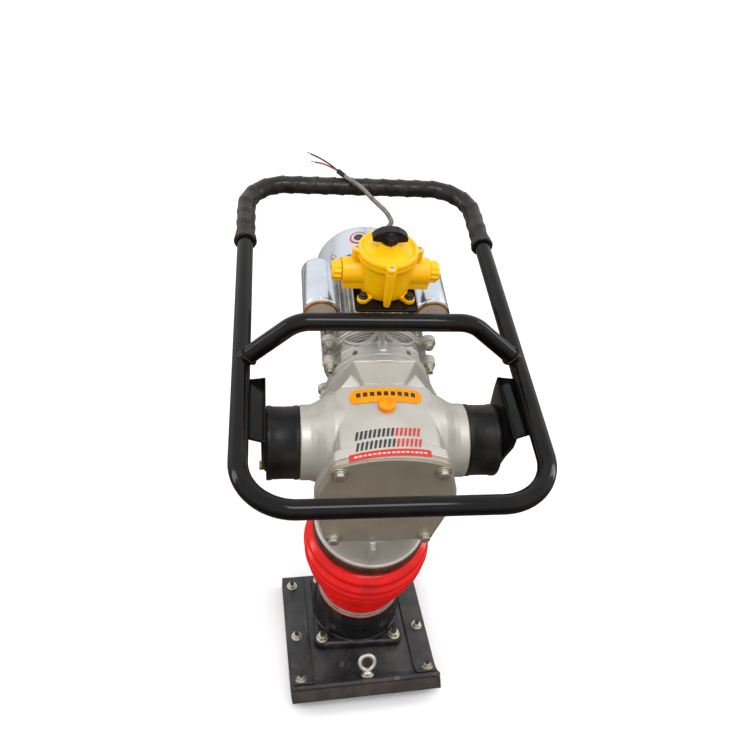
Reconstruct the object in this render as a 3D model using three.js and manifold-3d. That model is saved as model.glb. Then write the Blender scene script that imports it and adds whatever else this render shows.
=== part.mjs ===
// Electric jumping jack rammer: sprung foot, gearbox, motor, loop handle and switch.
// Millimetres, +Z up, origin at the centre of the flat sole, -Y is the direction of travel.
import * as THREE from 'three';
import { mergeVertices } from 'three/addons/utils/BufferGeometryUtils.js';
import Module from 'manifold-3d';

const wasm = await Module();
wasm.setup();

// --- driving sizes -------------------------------------------------------
const LEAN = THREE.MathUtils.degToRad(12);      // the leg leans forward over the foot
const LEAN_PIVOT_Y = 50;                        // where the leg axis meets the ground
const FOOT_YAW = THREE.MathUtils.degToRad(3);   // the foot sits slightly turned on the leg
const GAP = 0.3;                                // between touching pieces
const ROUND = 24;                               // facets of the large round pieces of the leg

const SOLE = { width: 282, rear: 134, padThick: 22, plateThick: 7 };
const TOE = { bendStart: -97, radius: 75, angle: THREE.MathUtils.degToRad(45), run: 14, steps: 4 };
const STRAP = { width: 40, thick: 4, inset: 4, rear: 128, run: 4 };
const BASE = { front: -55, rear: 121, width: 172, thick: 14, boltX: 71, boltFront: -38, boltRear: 104 };
const DOME = { radius: 85, shoulder: 73, bottom: 62, top: 150 };
const TUBE = { outer: 60, inner: 53, bottom: 150.3, top: 352 };
const PISTON = { rodRadius: 13, plateRadius: 50, plateBottom: 226, plateTop: 240 };
const SKIRT = { radius: 93.4, bottom: 340, rimBottom: 375.3, rimTop: 382, rimRadius: 97.5 };
const BELLOWS = { bottom: 151, top: 375, folds: 7 };

const CASE = { front: -73, rear: 60, radius: 107, centre: 557, bossRadius: 58, bossReach: 127.5 };
const COVER = { front: -85, back: -73.3, upperX: 74.5, upperUp: 635, lowerX: 73, lowerUp: 459, ear: 15,
  waist: 104 };
const ARCH = { radius: 190, centre: 477, half: 80 };     // gentle arch over the top of the gearbox
const TRUNNION = { back: 12, up: 581 };
const OIL = { x: -1.5, back: 11 };
const CRANK = { up: 528, throwRadius: 20, gearRadius: 65.8, webRadius: 38, gearFront: -58, gearBack: -36 };
const ROD = { length: 95, halfThick: 12, bigEnd: 24, smallEnd: 17, pin: 11, wristPin: 8 };
const MOTOR = { up: 609, bodyRadius: 81, finRadius: 87, bodyFront: 152, bodyBack: 330 };
const PINION = { radius: 14.8, front: -62, back: -34 };
const FAN = { coverRadius: 86, front: 338, back: 418 };
const CAPACITOR = { x: 91, up: 683, radius: 28.5, front: 192, back: 301 };

const HANDLE = { up: 674, halfWidth: 214.6, front: -167, back: 566, bend: 78, radius: 13.8 };
const GRIP = { radius: 18, start: 398 };
const BRIDGE = { halfTop: 132, back: 112, up: 741, footBack: 97, bend: 55 };
const MOUNT = { radius: 57, inner: 127.8, outer: 178 };
const BRACKET = { thick: 6, topUp: 668, flangeThick: 6, front: -52, rear: 68 };
const SWITCH = { x: 3, back: 189, base: 746.3, lidUp: 812, radius: 42, rim: 45.5, entryUp: 776, entryRadius: 21 };
const CORD = { radius: 4, sides: 8, wire: 1.6 };

// --- small helpers -------------------------------------------------------
const PAINT = {
  black: [0x101010, 0.35, 0.3],
  satinBlack: [0x1c1c1e, 0.55, 0.4],
  rubber: [0x141414, 0.8, 0],
  grip: [0x1a1614, 0.75, 0],
  cast: [0xb9b6ae, 0.5, 0.7],
  machined: [0xc8cacc, 0.25, 1],
  zinc: [0xc9c7bd, 0.35, 1],
  red: [0xd41510, 0.3, 0],
  yellow: [0xf5b301, 0.35, 0],
  orange: [0xf08a10, 0.4, 0],
  bronze: [0xb08040, 0.35, 1],
  copper: [0x9a5a34, 0.4, 1],
  plastic: [0x17181a, 0.45, 0],
  cable: [0x8c877a, 0.6, 0],
};

function material(paint) {
  const [color, roughness, metalness] = PAINT[paint];
  return new THREE.MeshStandardMaterial({ color, roughness, metalness });
}

function piece(parent, name, geometry, paint, place = [0, 0, 0]) {
  const mesh = new THREE.Mesh(geometry, material(paint));
  mesh.name = name;
  mesh.position.set(...place);
  parent.add(mesh);
  return mesh;
}

// Turn a three.js geometry into a solid the boolean kernel can work on.
function solid(geometry) {
  const bare = new THREE.BufferGeometry();
  bare.setAttribute('position', geometry.getAttribute('position').clone());
  if (geometry.index) bare.setIndex(geometry.index.clone());
  const merged = mergeVertices(bare, 1e-4);
  return new wasm.Manifold(new wasm.Mesh({
    numProp: 3,
    vertProperties: Float32Array.from(merged.getAttribute('position').array),
    triVerts: Uint32Array.from(merged.index.array),
  }));
}

function shell(manifold) {
  const mesh = manifold.getMesh();
  const geometry = new THREE.BufferGeometry();
  geometry.setAttribute('position', new THREE.BufferAttribute(mesh.vertProperties, 3));
  geometry.setIndex(new THREE.BufferAttribute(mesh.triVerts, 1));
  geometry.computeVertexNormals();
  return geometry;
}

function join(parts) {
  let whole = parts[0];
  for (const part of parts.slice(1)) whole = whole.add(part);
  return whole;
}

// Turned solid along the chosen axis from [radius, height] pairs that start and end on it.
function turned(profile, axis = 'z', segments = 24, twist = 0) {
  const geometry = new THREE.LatheGeometry(profile.map(([r, h]) => new THREE.Vector2(r, h)), segments);
  if (twist) geometry.rotateY(twist);
  geometry.rotateX(Math.PI / 2);
  if (axis === 'x') geometry.rotateY(Math.PI / 2);
  if (axis === 'y') geometry.rotateX(-Math.PI / 2);
  return geometry;
}

function disc(radius, from, to, axis = 'z', segments = 24, twist = 0) {
  return turned([[0, from], [radius, from], [radius, to], [0, to]], axis, segments, twist);
}

function ring(inner, outer, from, to, axis = 'z', segments = 24) {
  const profile = [[inner, from], [outer, from], [outer, to], [inner, to], [inner, from]];
  return turned(profile, axis, segments);
}

function block(x0, x1, y0, y1, z0, z1) {
  const geometry = new THREE.BoxGeometry(x1 - x0, y1 - y0, z1 - z0);
  geometry.translate((x0 + x1) / 2, (y0 + y1) / 2, (z0 + z1) / 2);
  return geometry;
}

// Flat outline in (first, second) coordinates pushed along X, Y or Z.
function slab(points, from, to, axis) {
  const shape = new THREE.Shape(points.map(([u, v]) => new THREE.Vector2(u, v)));
  const geometry = new THREE.ExtrudeGeometry(shape, { depth: to - from, bevelEnabled: false });
  geometry.translate(0, 0, from);
  if (axis === 'x') {
    geometry.rotateY(Math.PI / 2);
    geometry.rotateX(Math.PI / 2);
  }
  if (axis === 'y') {
    geometry.rotateX(Math.PI / 2);
    geometry.translate(0, from + to, 0);
  }
  return geometry;
}

// Rounded rectangle outline centred on (cu, cv).
function roundedOutline(cu, cv, halfU, halfV, radius, steps = 4) {
  const points = [];
  const corners = [[1, 1, 0], [-1, 1, 90], [-1, -1, 180], [1, -1, 270]];
  for (const [su, sv, start] of corners) {
    for (let i = 0; i <= steps; i += 1) {
      const angle = THREE.MathUtils.degToRad(start + (90 * i) / steps);
      const u = cu + su * (halfU - radius) + radius * Math.cos(angle);
      points.push([u, cv + sv * (halfV - radius) + radius * Math.sin(angle)]);
    }
  }
  return points;
}

// A path through given points, used for bent tubes.
class Route extends THREE.Curve {
  constructor(points) {
    super();
    this.stops = points.map((p) => new THREE.Vector3(...p));
  }
  getPoint(t) {
    const span = t * (this.stops.length - 1);
    const index = Math.min(Math.floor(span + 1e-9), this.stops.length - 2);
    return this.stops[index].clone().lerp(this.stops[index + 1], span - index);
  }
  getPointAt(u) {
    return this.getPoint(u);
  }
  getTangentAt(u) {
    const last = this.stops.length - 1;
    const index = Math.round(u * last);
    const before = this.stops[Math.max(index - 1, 0)];
    const after = this.stops[Math.min(index + 1, last)];
    const here = this.stops[index];
    const arrive = here.clone().sub(before).normalize();
    const leave = after.clone().sub(here).normalize();
    return arrive.add(leave).normalize();
  }
}

// Replace each inner corner of a polyline by an arc.
function rounded(corners, radius, steps) {
  const points = [corners[0]];
  for (let i = 1; i < corners.length - 1; i += 1) {
    const here = new THREE.Vector3(...corners[i]);
    const back = new THREE.Vector3(...corners[i - 1]).sub(here).normalize();
    const ahead = new THREE.Vector3(...corners[i + 1]).sub(here).normalize();
    const half = back.angleTo(ahead) / 2;
    const middle = back.clone().add(ahead).normalize();
    const centre = here.clone().addScaledVector(middle, radius / Math.sin(half));
    const start = here.clone().addScaledVector(back, radius / Math.tan(half)).sub(centre);
    const end = here.clone().addScaledVector(ahead, radius / Math.tan(half)).sub(centre);
    const turn = start.angleTo(end);
    for (let k = 0; k <= steps; k += 1) {
      const t = k / steps;
      const a = Math.sin((1 - t) * turn) / Math.sin(turn);
      const b = Math.sin(t * turn) / Math.sin(turn);
      const point = start.clone().multiplyScalar(a).addScaledVector(end, b).add(centre);
      points.push(point.toArray());
    }
  }
  points.push(corners[corners.length - 1]);
  return points;
}

function bentTube(points, radius, sides = 12, bore = 0) {
  const shape = new THREE.Shape();
  shape.absarc(0, 0, radius, 0, Math.PI * 2, false);
  if (bore) {
    const hole = new THREE.Path();
    hole.absarc(0, 0, bore, 0, Math.PI * 2, true);
    shape.holes.push(hole);
  }
  const route = new Route(points);
  const options = { steps: points.length - 1, curveSegments: sides / 2, bevelEnabled: false, extrudePath: route };
  return new THREE.ExtrudeGeometry(shape, options);
}

// --- foot ----------------------------------------------------------------
// One layer of the foot between two heights above the sole, with its upturned toe.
function footSlab(low, high, rear, run, x0, x1) {
  const lower = [];
  const upper = [];
  for (let i = 0; i <= TOE.steps; i += 1) {
    const turn = (TOE.angle * i) / TOE.steps;
    const y = TOE.bendStart - TOE.radius * Math.sin(turn);
    const z = TOE.radius * (1 - Math.cos(turn));
    lower.push([y + low * Math.sin(turn), z + low * Math.cos(turn)]);
    upper.push([y + high * Math.sin(turn), z + high * Math.cos(turn)]);
  }
  for (const edge of [lower, upper]) {
    const [y, z] = edge[TOE.steps];
    edge.push([y - run * Math.cos(TOE.angle), z + run * Math.sin(TOE.angle)]);
  }
  const outline = [[rear, low], ...lower, ...upper.reverse(), [rear, high]];
  return slab(outline, x0, x1, 'x');
}

function strap(side) {
  const outer = side * (SOLE.width / 2 - STRAP.inset);
  const inner = side * (SOLE.width / 2 - STRAP.inset - STRAP.width);
  const low = SOLE.padThick + SOLE.plateThick + 2 * GAP;
  const [x0, x1] = [Math.min(inner, outer), Math.max(inner, outer)];
  return footSlab(low, low + STRAP.thick, STRAP.rear, STRAP.run, x0, x1);
}

function hexNut(across, washer, height, stud) {
  const nut = disc(across / 2 / Math.cos(Math.PI / 6), 1.6, height, 'z', 6);
  const flat = disc(washer, 0, 2, 'z', 12);
  const end = disc(stud, height - 1, height + 7, 'z', 10);
  return shell(join([solid(flat), solid(nut), solid(end)]));
}

function eyeBolt() {
  const loop = new THREE.TorusGeometry(14, 4.2, 8, 16);
  loop.rotateX(Math.PI / 2);
  loop.translate(0, 0, 25);
  loop.rotateZ(Math.PI);
  const foot = turned([[0, 0], [12, 0], [12, 3], [7, 5], [5, 11], [0, 11]], 'z', 12);
  return shell(join([solid(loop), solid(foot)]));
}

function baseCasting() {
  const z0 = SOLE.padThick + SOLE.plateThick + 2 * GAP;
  const middle = (BASE.front + BASE.rear) / 2;
  const half = (BASE.rear - BASE.front) / 2;
  const outline = roundedOutline(0, middle, BASE.width / 2, half, 14);
  const flange = solid(slab(outline, z0, z0 + BASE.thick, 'z'));
  const { radius, shoulder, bottom, top } = DOME;
  const profile = [[0, bottom - 40], [radius, bottom - 40], [radius + 1, bottom + 22], [radius - 1, bottom + 40],
    [radius - 5, bottom + 58], [shoulder + 1, bottom + 72], [shoulder, top], [0, top]];
  const dome = turned(profile, 'z', 20);
  dome.rotateX(LEAN);
  dome.translate(0, LEAN_PIVOT_Y, 0);
  const floor = block(-200, 200, -200, 300, -100, z0);
  const parts = [flange, solid(dome).subtract(solid(floor))];
  for (const sx of [-1, 1]) {
    for (const sy of [-1, 1]) {
      const rib = slab([[60, z0], [108, z0], [60, z0 + 62]], -4, 4, 'y');
      rib.rotateZ(Math.atan2(sy, sx));
      rib.translate(0, middle, 0);
      parts.push(solid(rib));
    }
  }
  let body = join(parts);
  for (const sx of [-1, 1]) {
    for (const y of [BASE.boltFront, BASE.boltRear]) {
      const spot = disc(13.5, z0 + BASE.thick, z0 + 90, 'z', 12);
      spot.translate(sx * BASE.boltX, y, 0);
      body = body.subtract(solid(spot));
    }
  }
  const pocket = disc(TUBE.inner, 96, 400, 'z', 24);
  pocket.rotateX(LEAN);
  pocket.translate(0, LEAN_PIVOT_Y, 0);
  return shell(body.subtract(solid(pocket)));
}

function coilSpring(radius, wire, from, to, turns) {
  const points = [];
  const steps = Math.round(turns * 9);
  for (let i = 0; i <= steps; i += 1) {
    const t = i / steps;
    const angle = t * turns * Math.PI * 2;
    points.push([radius * Math.cos(angle), radius * Math.sin(angle), from + wire + (to - from - 2 * wire) * t]);
  }
  return bentTube(points, wire, 6);
}

function bellows() {
  const { bottom, top, folds } = BELLOWS;
  const low = bottom + 24;
  const high = top - 27;
  const wall = 2.5;
  const outer = [[78.5, bottom], [78.5, low]];
  const pitch = (high - low) / folds;
  for (let i = 0; i < folds; i += 1) {
    const t = (i + 0.5) / folds;
    const swell = Math.sin(Math.min(t / 0.8, 1) * (Math.PI / 2)) ** 1.6;
    const crest = 84 + 29 * swell - 5 * Math.max(0, t - 0.78) / 0.22;
    outer.push([crest, low + pitch * (i + 0.5)]);
    if (i < folds - 1) outer.push([crest - 9, low + pitch * (i + 1)]);
  }
  outer.push([96.2, high], [96.2, top]);
  const inner = outer.map(([r, h]) => [r - wall, h]).reverse();
  return turned([...outer, ...inner, outer[0]], 'z', ROUND);
}

// --- gearbox -------------------------------------------------------------
function coverOutline(from, to) {
  const side = COVER.upperX + COVER.ear;
  const bottom = COVER.lowerUp - COVER.ear;
  const half = [];
  for (let x = 0; x <= ARCH.half; x += 16) {
    half.push([x, ARCH.centre + Math.sqrt(ARCH.radius ** 2 - x ** 2)]);
  }
  half.push([side - 1.5, COVER.upperUp + 6], [side, COVER.upperUp - 3]);
  half.push([COVER.waist, CASE.centre + 27], [COVER.waist, CASE.centre - 27]);
  half.push([side, bottom + COVER.ear], [side - 4, bottom + 4], [side - COVER.ear, bottom]);
  const mirrored = half.slice(1).reverse().map(([x, up]) => [-x, up]);
  const plate = slab([...half, ...mirrored], from, to, 'y');
  const round = disc(CASE.radius, from, to, 'y', 24);
  round.translate(0, 0, CASE.centre);
  return join([solid(plate), solid(round)]);
}

function crankcase() {
  const { back, up } = TRUNNION;
  const boss = turned([[0, -CASE.bossReach], [CASE.bossRadius, -CASE.bossReach], [CASE.bossRadius, -112],
    [74, -88], [74, 88], [CASE.bossRadius, 112], [CASE.bossRadius, CASE.bossReach], [0, CASE.bossReach]], 'x', 20);
  boss.translate(0, back, up);
  const skirt = turned([[0, SKIRT.bottom], [SKIRT.radius - GAP, SKIRT.bottom], [SKIRT.radius - GAP, SKIRT.rimBottom],
    [SKIRT.rimRadius, SKIRT.rimBottom], [SKIRT.rimRadius, SKIRT.rimTop], [94, SKIRT.rimTop], [91, 392],
    [86, 448], [86, 480], [0, 480]], 'z', ROUND);
  const neck = disc(84, 80, 92, 'y', 24);
  const cone = turned([[0, 40], [31, 40], [97, 80], [0, 80]], 'y', 6, Math.PI / 6);
  neck.translate(0, 0, MOTOR.up);
  cone.translate(0, 0, MOTOR.up);
  const ridge = slab([[-78, 560], [78, 560], [78, 632], [30, 651], [-30, 651], [-78, 632]], 30, 62, 'y');
  const gusset = slab([[-64, 560], [64, 560], [60, 642], [-60, 642]], 60, 82, 'y');
  const rib = block(-13, -5, -94, -60, 398, 446);
  let body = join([coverOutline(CASE.front, CASE.rear - 4), solid(boss), solid(skirt), solid(ridge),
    solid(gusset), solid(cone), solid(neck), solid(rib)]);
  const room = disc(72, CASE.front - 5, 30, 'y', 20);
  room.translate(0, 0, CRANK.up);
  const pinionRoom = disc(22, CASE.front - 5, 40, 'y', 18);
  const shaftBore = disc(26, 30, 120, 'y', 18);
  pinionRoom.translate(0, 0, MOTOR.up);
  shaftBore.translate(0, 0, MOTOR.up);
  const guide = disc(66, SKIRT.bottom - 20, CRANK.up - 40, 'z', 20);
  const filler = disc(8, 590, 700, 'z', 12);
  filler.translate(OIL.x, OIL.back, 0);
  const ahead = block(-200, 200, -200, CASE.front, 443, 700);
  for (const cut of [room, pinionRoom, shaftBore, guide, filler, ahead]) body = body.subtract(solid(cut));
  return shell(body);
}

function frontCover() {
  const boss = ring(28.3, 34, COVER.back - 1, -60.5, 'y', 20);
  boss.translate(0, 0, CRANK.up);
  return shell(join([coverOutline(COVER.front, COVER.back), solid(boss)]));
}

function capScrew(washer, across, height) {
  const base = disc(washer, -2, 0, 'y', 12);
  const head = disc(across / 2 / Math.cos(Math.PI / 6), -height, -1, 'y', 6);
  return shell(join([solid(base), solid(head)]));
}

function oilPlug() {
  const head = turned([[0, 3], [12, 3], [13, 4.5], [13, 8], [11, 10.5], [0, 10.5]], 'z', 12);
  const stem = disc(7.4, -16, 4, 'z', 12);
  return shell(join([solid(head), solid(stem)]));
}

function crankGear() {
  const gear = disc(CRANK.gearRadius, CRANK.gearFront, CRANK.gearBack, 'y', 44);
  const web = disc(CRANK.webRadius, CRANK.gearBack - 1, -14.3, 'y', 24);
  const shaft = disc(17, -72.5, CRANK.gearFront + 1, 'y', 18);
  return shell(join([solid(gear), solid(web), solid(shaft)]));
}

function conRod() {
  const t = ROD.halfThick;
  const big = disc(ROD.bigEnd, -t - 1.5, t, 'y', 20);
  const small = disc(ROD.smallEnd, -t, t, 'y', 18);
  const beam = block(-9, 9, -t, t, -ROD.length, 0);
  small.translate(0, 0, -ROD.length);
  const eye = disc(ROD.pin + GAP, -30, 30, 'y', 18);
  const wristEye = disc(ROD.wristPin + GAP, -30, 30, 'y', 14);
  wristEye.translate(0, 0, -ROD.length);
  return shell(join([solid(big), solid(small), solid(beam)]).subtract(solid(eye)).subtract(solid(wristEye)));
}

function pistonRod(wristUp) {
  const { rodRadius, plateRadius, plateBottom, plateTop } = PISTON;
  const stem = turned([[0, plateBottom], [plateRadius, plateBottom], [plateRadius, plateTop],
    [rodRadius, plateTop], [rodRadius, wristUp - 24], [0, wristUp - 24]], 'z', 20);
  const fork = block(-19, 19, -25, 25, wristUp - 31, wristUp + 17);
  const slot = block(-30, 30, -ROD.halfThick - 0.6, ROD.halfThick + 0.6, wristUp - 19, wristUp + 30);
  const bore = disc(ROD.wristPin + GAP, -40, 40, 'y', 14);
  bore.translate(0, 0, wristUp);
  return shell(join([solid(stem), solid(fork)]).subtract(solid(slot)).subtract(solid(bore)));
}

// --- motor ---------------------------------------------------------------
function lug(x, up, radius, from, to) {
  const round = disc(radius, from, to, 'y', 12);
  round.translate(x, 0, up);
  const arm = block(0, Math.hypot(x, up), from, to, -radius * 0.8, radius * 0.8);
  arm.rotateY(-Math.atan2(up, x));
  return [solid(round), solid(arm)];
}

function motorAdapter() {
  const hub = turned([[0, 92.3], [84, 92.3], [84, 103], [73, 106], [76, 124], [83, 138], [84, MOTOR.bodyFront - GAP],
    [0, MOTOR.bodyFront - GAP]], 'y', 20);
  const parts = [solid(hub)];
  for (const sx of [-1, 1]) {
    for (const su of [-1, 1]) {
      parts.push(...lug(sx * 79, su * 41, 11, 108, 124));
      parts.push(...lug(sx * 80, su * 57, 12, 140, MOTOR.bodyFront - GAP));
    }
  }
  const rib = block(-5, 5, 100, 150, 60, 86);
  parts.push(solid(rib));
  let body = join(parts);
  const bore = disc(26.3, 80, 200, 'y', 18);
  const hollow = disc(66, 112, 200, 'y', 20);
  body = body.subtract(solid(bore)).subtract(solid(hollow));
  for (const angle of [62, 118, 242, 298]) {
    const window = block(-15, 15, 112, 134, 60, 95);
    window.rotateY(THREE.MathUtils.degToRad(90 - angle));
    body = body.subtract(solid(window));
  }
  return shell(body);
}

function motorBody() {
  const fins = 24;
  const outline = [];
  for (let i = 0; i < fins; i += 1) {
    for (const [part, radius] of [[0, MOTOR.bodyRadius], [0.38, MOTOR.bodyRadius], [0.5, MOTOR.finRadius], [0.88, MOTOR.finRadius]]) {
      const angle = ((i + part) / fins) * Math.PI * 2;
      outline.push([radius * Math.cos(angle), radius * Math.sin(angle)]);
    }
  }
  const parts = [solid(slab(outline, MOTOR.bodyFront, MOTOR.bodyBack, 'y'))];
  const offset = CAPACITOR.up - MOTOR.up;
  for (const sx of [-1, 1]) {
    const pad = block(70, 102, 210, 280, -13, 13);
    pad.rotateY(-Math.atan2(offset, sx * CAPACITOR.x));
    const seat = disc(CAPACITOR.radius + GAP, 100, 400, 'y', 20);
    seat.translate(sx * CAPACITOR.x, 0, offset);
    parts.push(solid(pad).subtract(solid(seat)));
  }
  const bore = disc(76.3, 100, 400, 'y', 20);
  return shell(join(parts).subtract(solid(bore)));
}

function rearBell() {
  const plate = turned([[16, 330.3], [84, 330.3], [84, 336], [70, 344], [16, 344], [16, 330.3]], 'y', 20);
  return plate;
}

function fan() {
  const hub = ring(12.05, 18, 347, 372, 'y', 20);
  const back = ring(14, 66, 347, 350, 'y', 20);
  const parts = [solid(hub), solid(back)];
  for (let i = 0; i < 6; i += 1) {
    const blade = block(15, 64, 349, 368, -1.5, 1.5);
    blade.rotateY((i * Math.PI) / 3);
    parts.push(solid(blade));
  }
  return shell(join(parts));
}

function fanCover() {
  const { coverRadius: r, front, back } = FAN;
  const profile = [[r - 2, front], [r, front], [r, back - 14], [r - 4, back - 5], [r - 12, back], [30, back],
    [30, back - 2], [r - 13, back - 2], [r - 6, back - 6.5], [r - 2, back - 15], [r - 2, front]];
  let body = solid(turned(profile, 'y', 20));
  const bars = block(-4, 4, back - 2, back, -40, 40);
  const cross = block(-40, 40, back - 2, back, -4, 4);
  body = join([body, solid(bars), solid(cross)]);
  return shell(body);
}

// --- handle --------------------------------------------------------------
function loopHalf(end, from) {
  const x = HANDLE.halfWidth;
  const corners = [[-x, from, 0], [-x, end, 0], [x, end, 0], [x, from, 0]];
  return rounded(corners, HANDLE.bend, 6);
}

function bridge() {
  const { halfTop, back, up, footBack, bend } = BRIDGE;
  const x = HANDLE.halfWidth;
  const rise = up - HANDLE.up;
  const corners = [[-x, footBack, 0], [-halfTop, back, rise], [halfTop, back, rise], [x, footBack, 0]];
  let body = solid(bentTube(rounded(corners, bend, 5), HANDLE.radius, 14));
  for (const sx of [-1, 1]) {
    const arm = disc(HANDLE.radius + GAP, 0, 300, 'y', 18);
    arm.translate(sx * x, 0, 0);
    const beyond = block(sx > 0 ? x : -x - 60, sx > 0 ? x + 60 : -x, 0, 300, -60, 60);
    body = body.subtract(solid(arm)).subtract(solid(beyond));
  }
  return shell(body);
}

function bracket(side) {
  const { thick, topUp, flangeThick, front, rear } = BRACKET;
  const { back, up } = TRUNNION;
  const outline = [[rear, topUp], [rear, topUp - 24], [back + 50, up + 19], [back + 38, up - 14],
    [back - 38, up - 14], [back - 50, up + 19], [front, topUp - 24], [front, topUp]];
  const x0 = MOUNT.outer + GAP;
  const plate = solid(slab(outline, side > 0 ? x0 : -x0 - thick, side > 0 ? x0 + thick : -x0, 'x'));
  const reach = HANDLE.halfWidth - 6;
  const flange = slab([[x0, front - 6], [reach, front + 8], [reach, rear + 8], [x0, rear - 6]], topUp - flangeThick, topUp, 'z');
  if (side < 0) flange.applyMatrix4(new THREE.Matrix4().makeRotationZ(Math.PI));
  if (side < 0) flange.translate(0, front + rear, 0);
  const arm = disc(HANDLE.radius + GAP, -200, 300, 'y', 18);
  arm.translate(side * HANDLE.halfWidth, 0, HANDLE.up);
  return shell(join([plate, solid(flange)]).subtract(solid(arm)));
}

// Grip over the rear of the loop, with a rolled collar at each end.
function gripSleeve() {
  const bore = HANDLE.radius + GAP;
  const parts = [solid(bentTube(loopHalf(HANDLE.back, GRIP.start), GRIP.radius, 14, bore))];
  for (const side of [-1, 1]) {
    const inner = bore + GAP;
    const collar = turned([[inner, -14], [18, -14], [20.5, -11], [19.5, 1], [inner, 1], [inner, -14]], 'y', 12);
    collar.translate(side * HANDLE.halfWidth, GRIP.start, 0);
    parts.push(solid(collar));
  }
  return shell(join(parts));
}

function switchBody() {
  const { base, lidUp, radius, rim } = SWITCH;
  const h = lidUp - GAP - base;
  const drum = turned([[0, 0], [radius - 3, 0], [radius - 1, 4], [radius, h - 8], [rim, h - 6], [rim, h], [0, h]], 'z', 24);
  const parts = [solid(drum)];
  for (const angle of [45, 135, 225, 315]) {
    const arm = block(20, 50, -9, 9, 0, 7);
    const end = disc(9, 0, 7, 'z', 12);
    end.translate(50, 0, 0);
    arm.rotateZ(THREE.MathUtils.degToRad(angle));
    end.rotateZ(THREE.MathUtils.degToRad(angle));
    parts.push(solid(arm), solid(end));
  }
  for (const angle of [0, 90, 180, 270]) {
    const column = turned([[0, angle === 270 ? 0 : h - 30], [5, angle === 270 ? 0 : h - 30], [7, h - 20], [7, h], [0, h]], 'z', 12);
    column.translate(rim + 1, 0, 0);
    column.rotateZ(THREE.MathUtils.degToRad(angle));
    parts.push(solid(column));
  }
  const entry = disc(SWITCH.entryRadius, -67, 67, 'x', 20);
  entry.translate(0, 0, SWITCH.entryUp - base);
  const outlet = disc(13, 30, 56, 'y', 14);
  outlet.translate(0, 0, SWITCH.entryUp - base);
  const entryFoot = block(-66, 66, -19, 19, 8.9, SWITCH.entryUp - base);
  parts.push(solid(entry), solid(outlet), solid(entryFoot));
  const cavity = turned([[0, 5], [radius - 5, 5], [radius - 4, h + 5], [0, h + 5]], 'z', 20);
  return shell(join(parts).subtract(solid(cavity)));
}

function switchLid() {
  const { rim } = SWITCH;
  const parts = [solid(turned([[0, 0], [rim, 0], [rim, 8], [rim - 4, 11], [rim - 7, 8.5], [30, 10.5], [14, 12],
    [13, 19], [0, 19]], 'z', 20))];
  for (const angle of [0, 90, 180, 270]) {
    const ear = disc(7, 0, 7, 'z', 12);
    ear.translate(rim + 1, 0, 0);
    ear.rotateZ(THREE.MathUtils.degToRad(angle));
    parts.push(solid(ear));
  }
  return shell(join(parts));
}

function knob() {
  const bar = slab([[-27, 6], [-24, 14], [-10, 24], [10, 24], [24, 14], [27, 6], [10, 3], [-10, 3]], -8, 8, 'y');
  const hub = turned([[0, 0], [12, 0], [14, 4], [12, 12], [0, 14]], 'z', 14);
  return shell(join([solid(bar), solid(hub)]));
}

function glandNut() {
  const nut = disc(17, 0, 12, 'x', 8);
  const lip = disc(14, 11, 15, 'x', 14);
  return shell(join([solid(nut), solid(lip)]));
}

function cordGland() {
  const bore = CORD.radius + 3 * GAP;
  const nut = ring(bore, 11, 0, 12, 'y', 12);
  const sleeve = turned([[bore, 11], [8, 11], [6.5, 22], [bore, 22], [bore, 11]], 'y', 12);
  return shell(join([solid(nut), solid(sleeve)]));
}

// Points of the free cord in the leaning frame, from inside the gland to the cut end.
function cordRoute() {
  const stops = [[3, 247, 776], [3, 264, 776], [5, 274, 777.5], [14, 287, 781], [24, 303, 783], [19, 337, 779],
    [11, 375, 767], [5, 430, 744], [0, 505, 711], [-13, 545, 699], [-27, 566, 696], [-40, 583, 697]];
  const curve = new THREE.CatmullRomCurve3(stops.map((p) => new THREE.Vector3(...p)), false, 'centripetal');
  return curve.getSpacedPoints(32).map((p) => p.toArray());
}

// Jacket with two wires leaving its cut end.
function powerCord() {
  const parts = [solid(bentTube(cordRoute(), CORD.radius, CORD.sides))];
  const upperWire = [[-34, 575, 696.6], [-52, 599, 698.5], [-72, 620, 700], [-91, 636, 700]];
  const lowerWire = [[-34, 575, 696.6], [-53, 594, 698], [-68, 602, 700], [-84, 607, 700]];
  for (const stops of [upperWire, lowerWire]) parts.push(solid(bentTube(stops, CORD.wire, 6)));
  return shell(join(parts));
}

// --- assembly ------------------------------------------------------------
function addFoot(root) {
  const foot = new THREE.Group();
  foot.name = 'foot_group';
  foot.rotation.z = FOOT_YAW;
  root.add(foot);
  const half = SOLE.width / 2;
  piece(foot, 'sole_pad', footSlab(0, SOLE.padThick, SOLE.rear, TOE.run, -half, half), 'plastic');
  const plateLow = SOLE.padThick + GAP;
  const plate = footSlab(plateLow, plateLow + SOLE.plateThick, SOLE.rear, TOE.run, -half, half);
  piece(foot, 'sole_plate', plate, 'satinBlack');
  piece(foot, 'strap_left', strap(-1), 'satinBlack');
  piece(foot, 'strap_right', strap(1), 'satinBlack');
  const deck = plateLow + SOLE.plateThick + GAP;
  const tilt = THREE.MathUtils.degToRad(33);
  const eyeY = TOE.bendStart - (TOE.radius - deck) * Math.sin(tilt);
  const eyeZ = TOE.radius - (TOE.radius - deck) * Math.cos(tilt);
  piece(foot, 'eye_bolt', eyeBolt(), 'zinc', [4, eyeY, eyeZ + 2]).rotation.x = -tilt;
  const sides = { left: -1, right: 1 };
  for (const [side, sx] of Object.entries(sides)) {
    const spots = { front: BASE.boltFront, rear: BASE.boltRear };
    for (const [spot, y] of Object.entries(spots)) {
      const up = deck + BASE.thick + GAP;
      piece(root, `base_nut_${spot}_${side}`, hexNut(17, 12, 11, 5), 'zinc', [sx * BASE.boltX, y, up]);
    }
  }
  piece(root, 'base_casting', baseCasting(), 'satinBlack');
}

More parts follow.
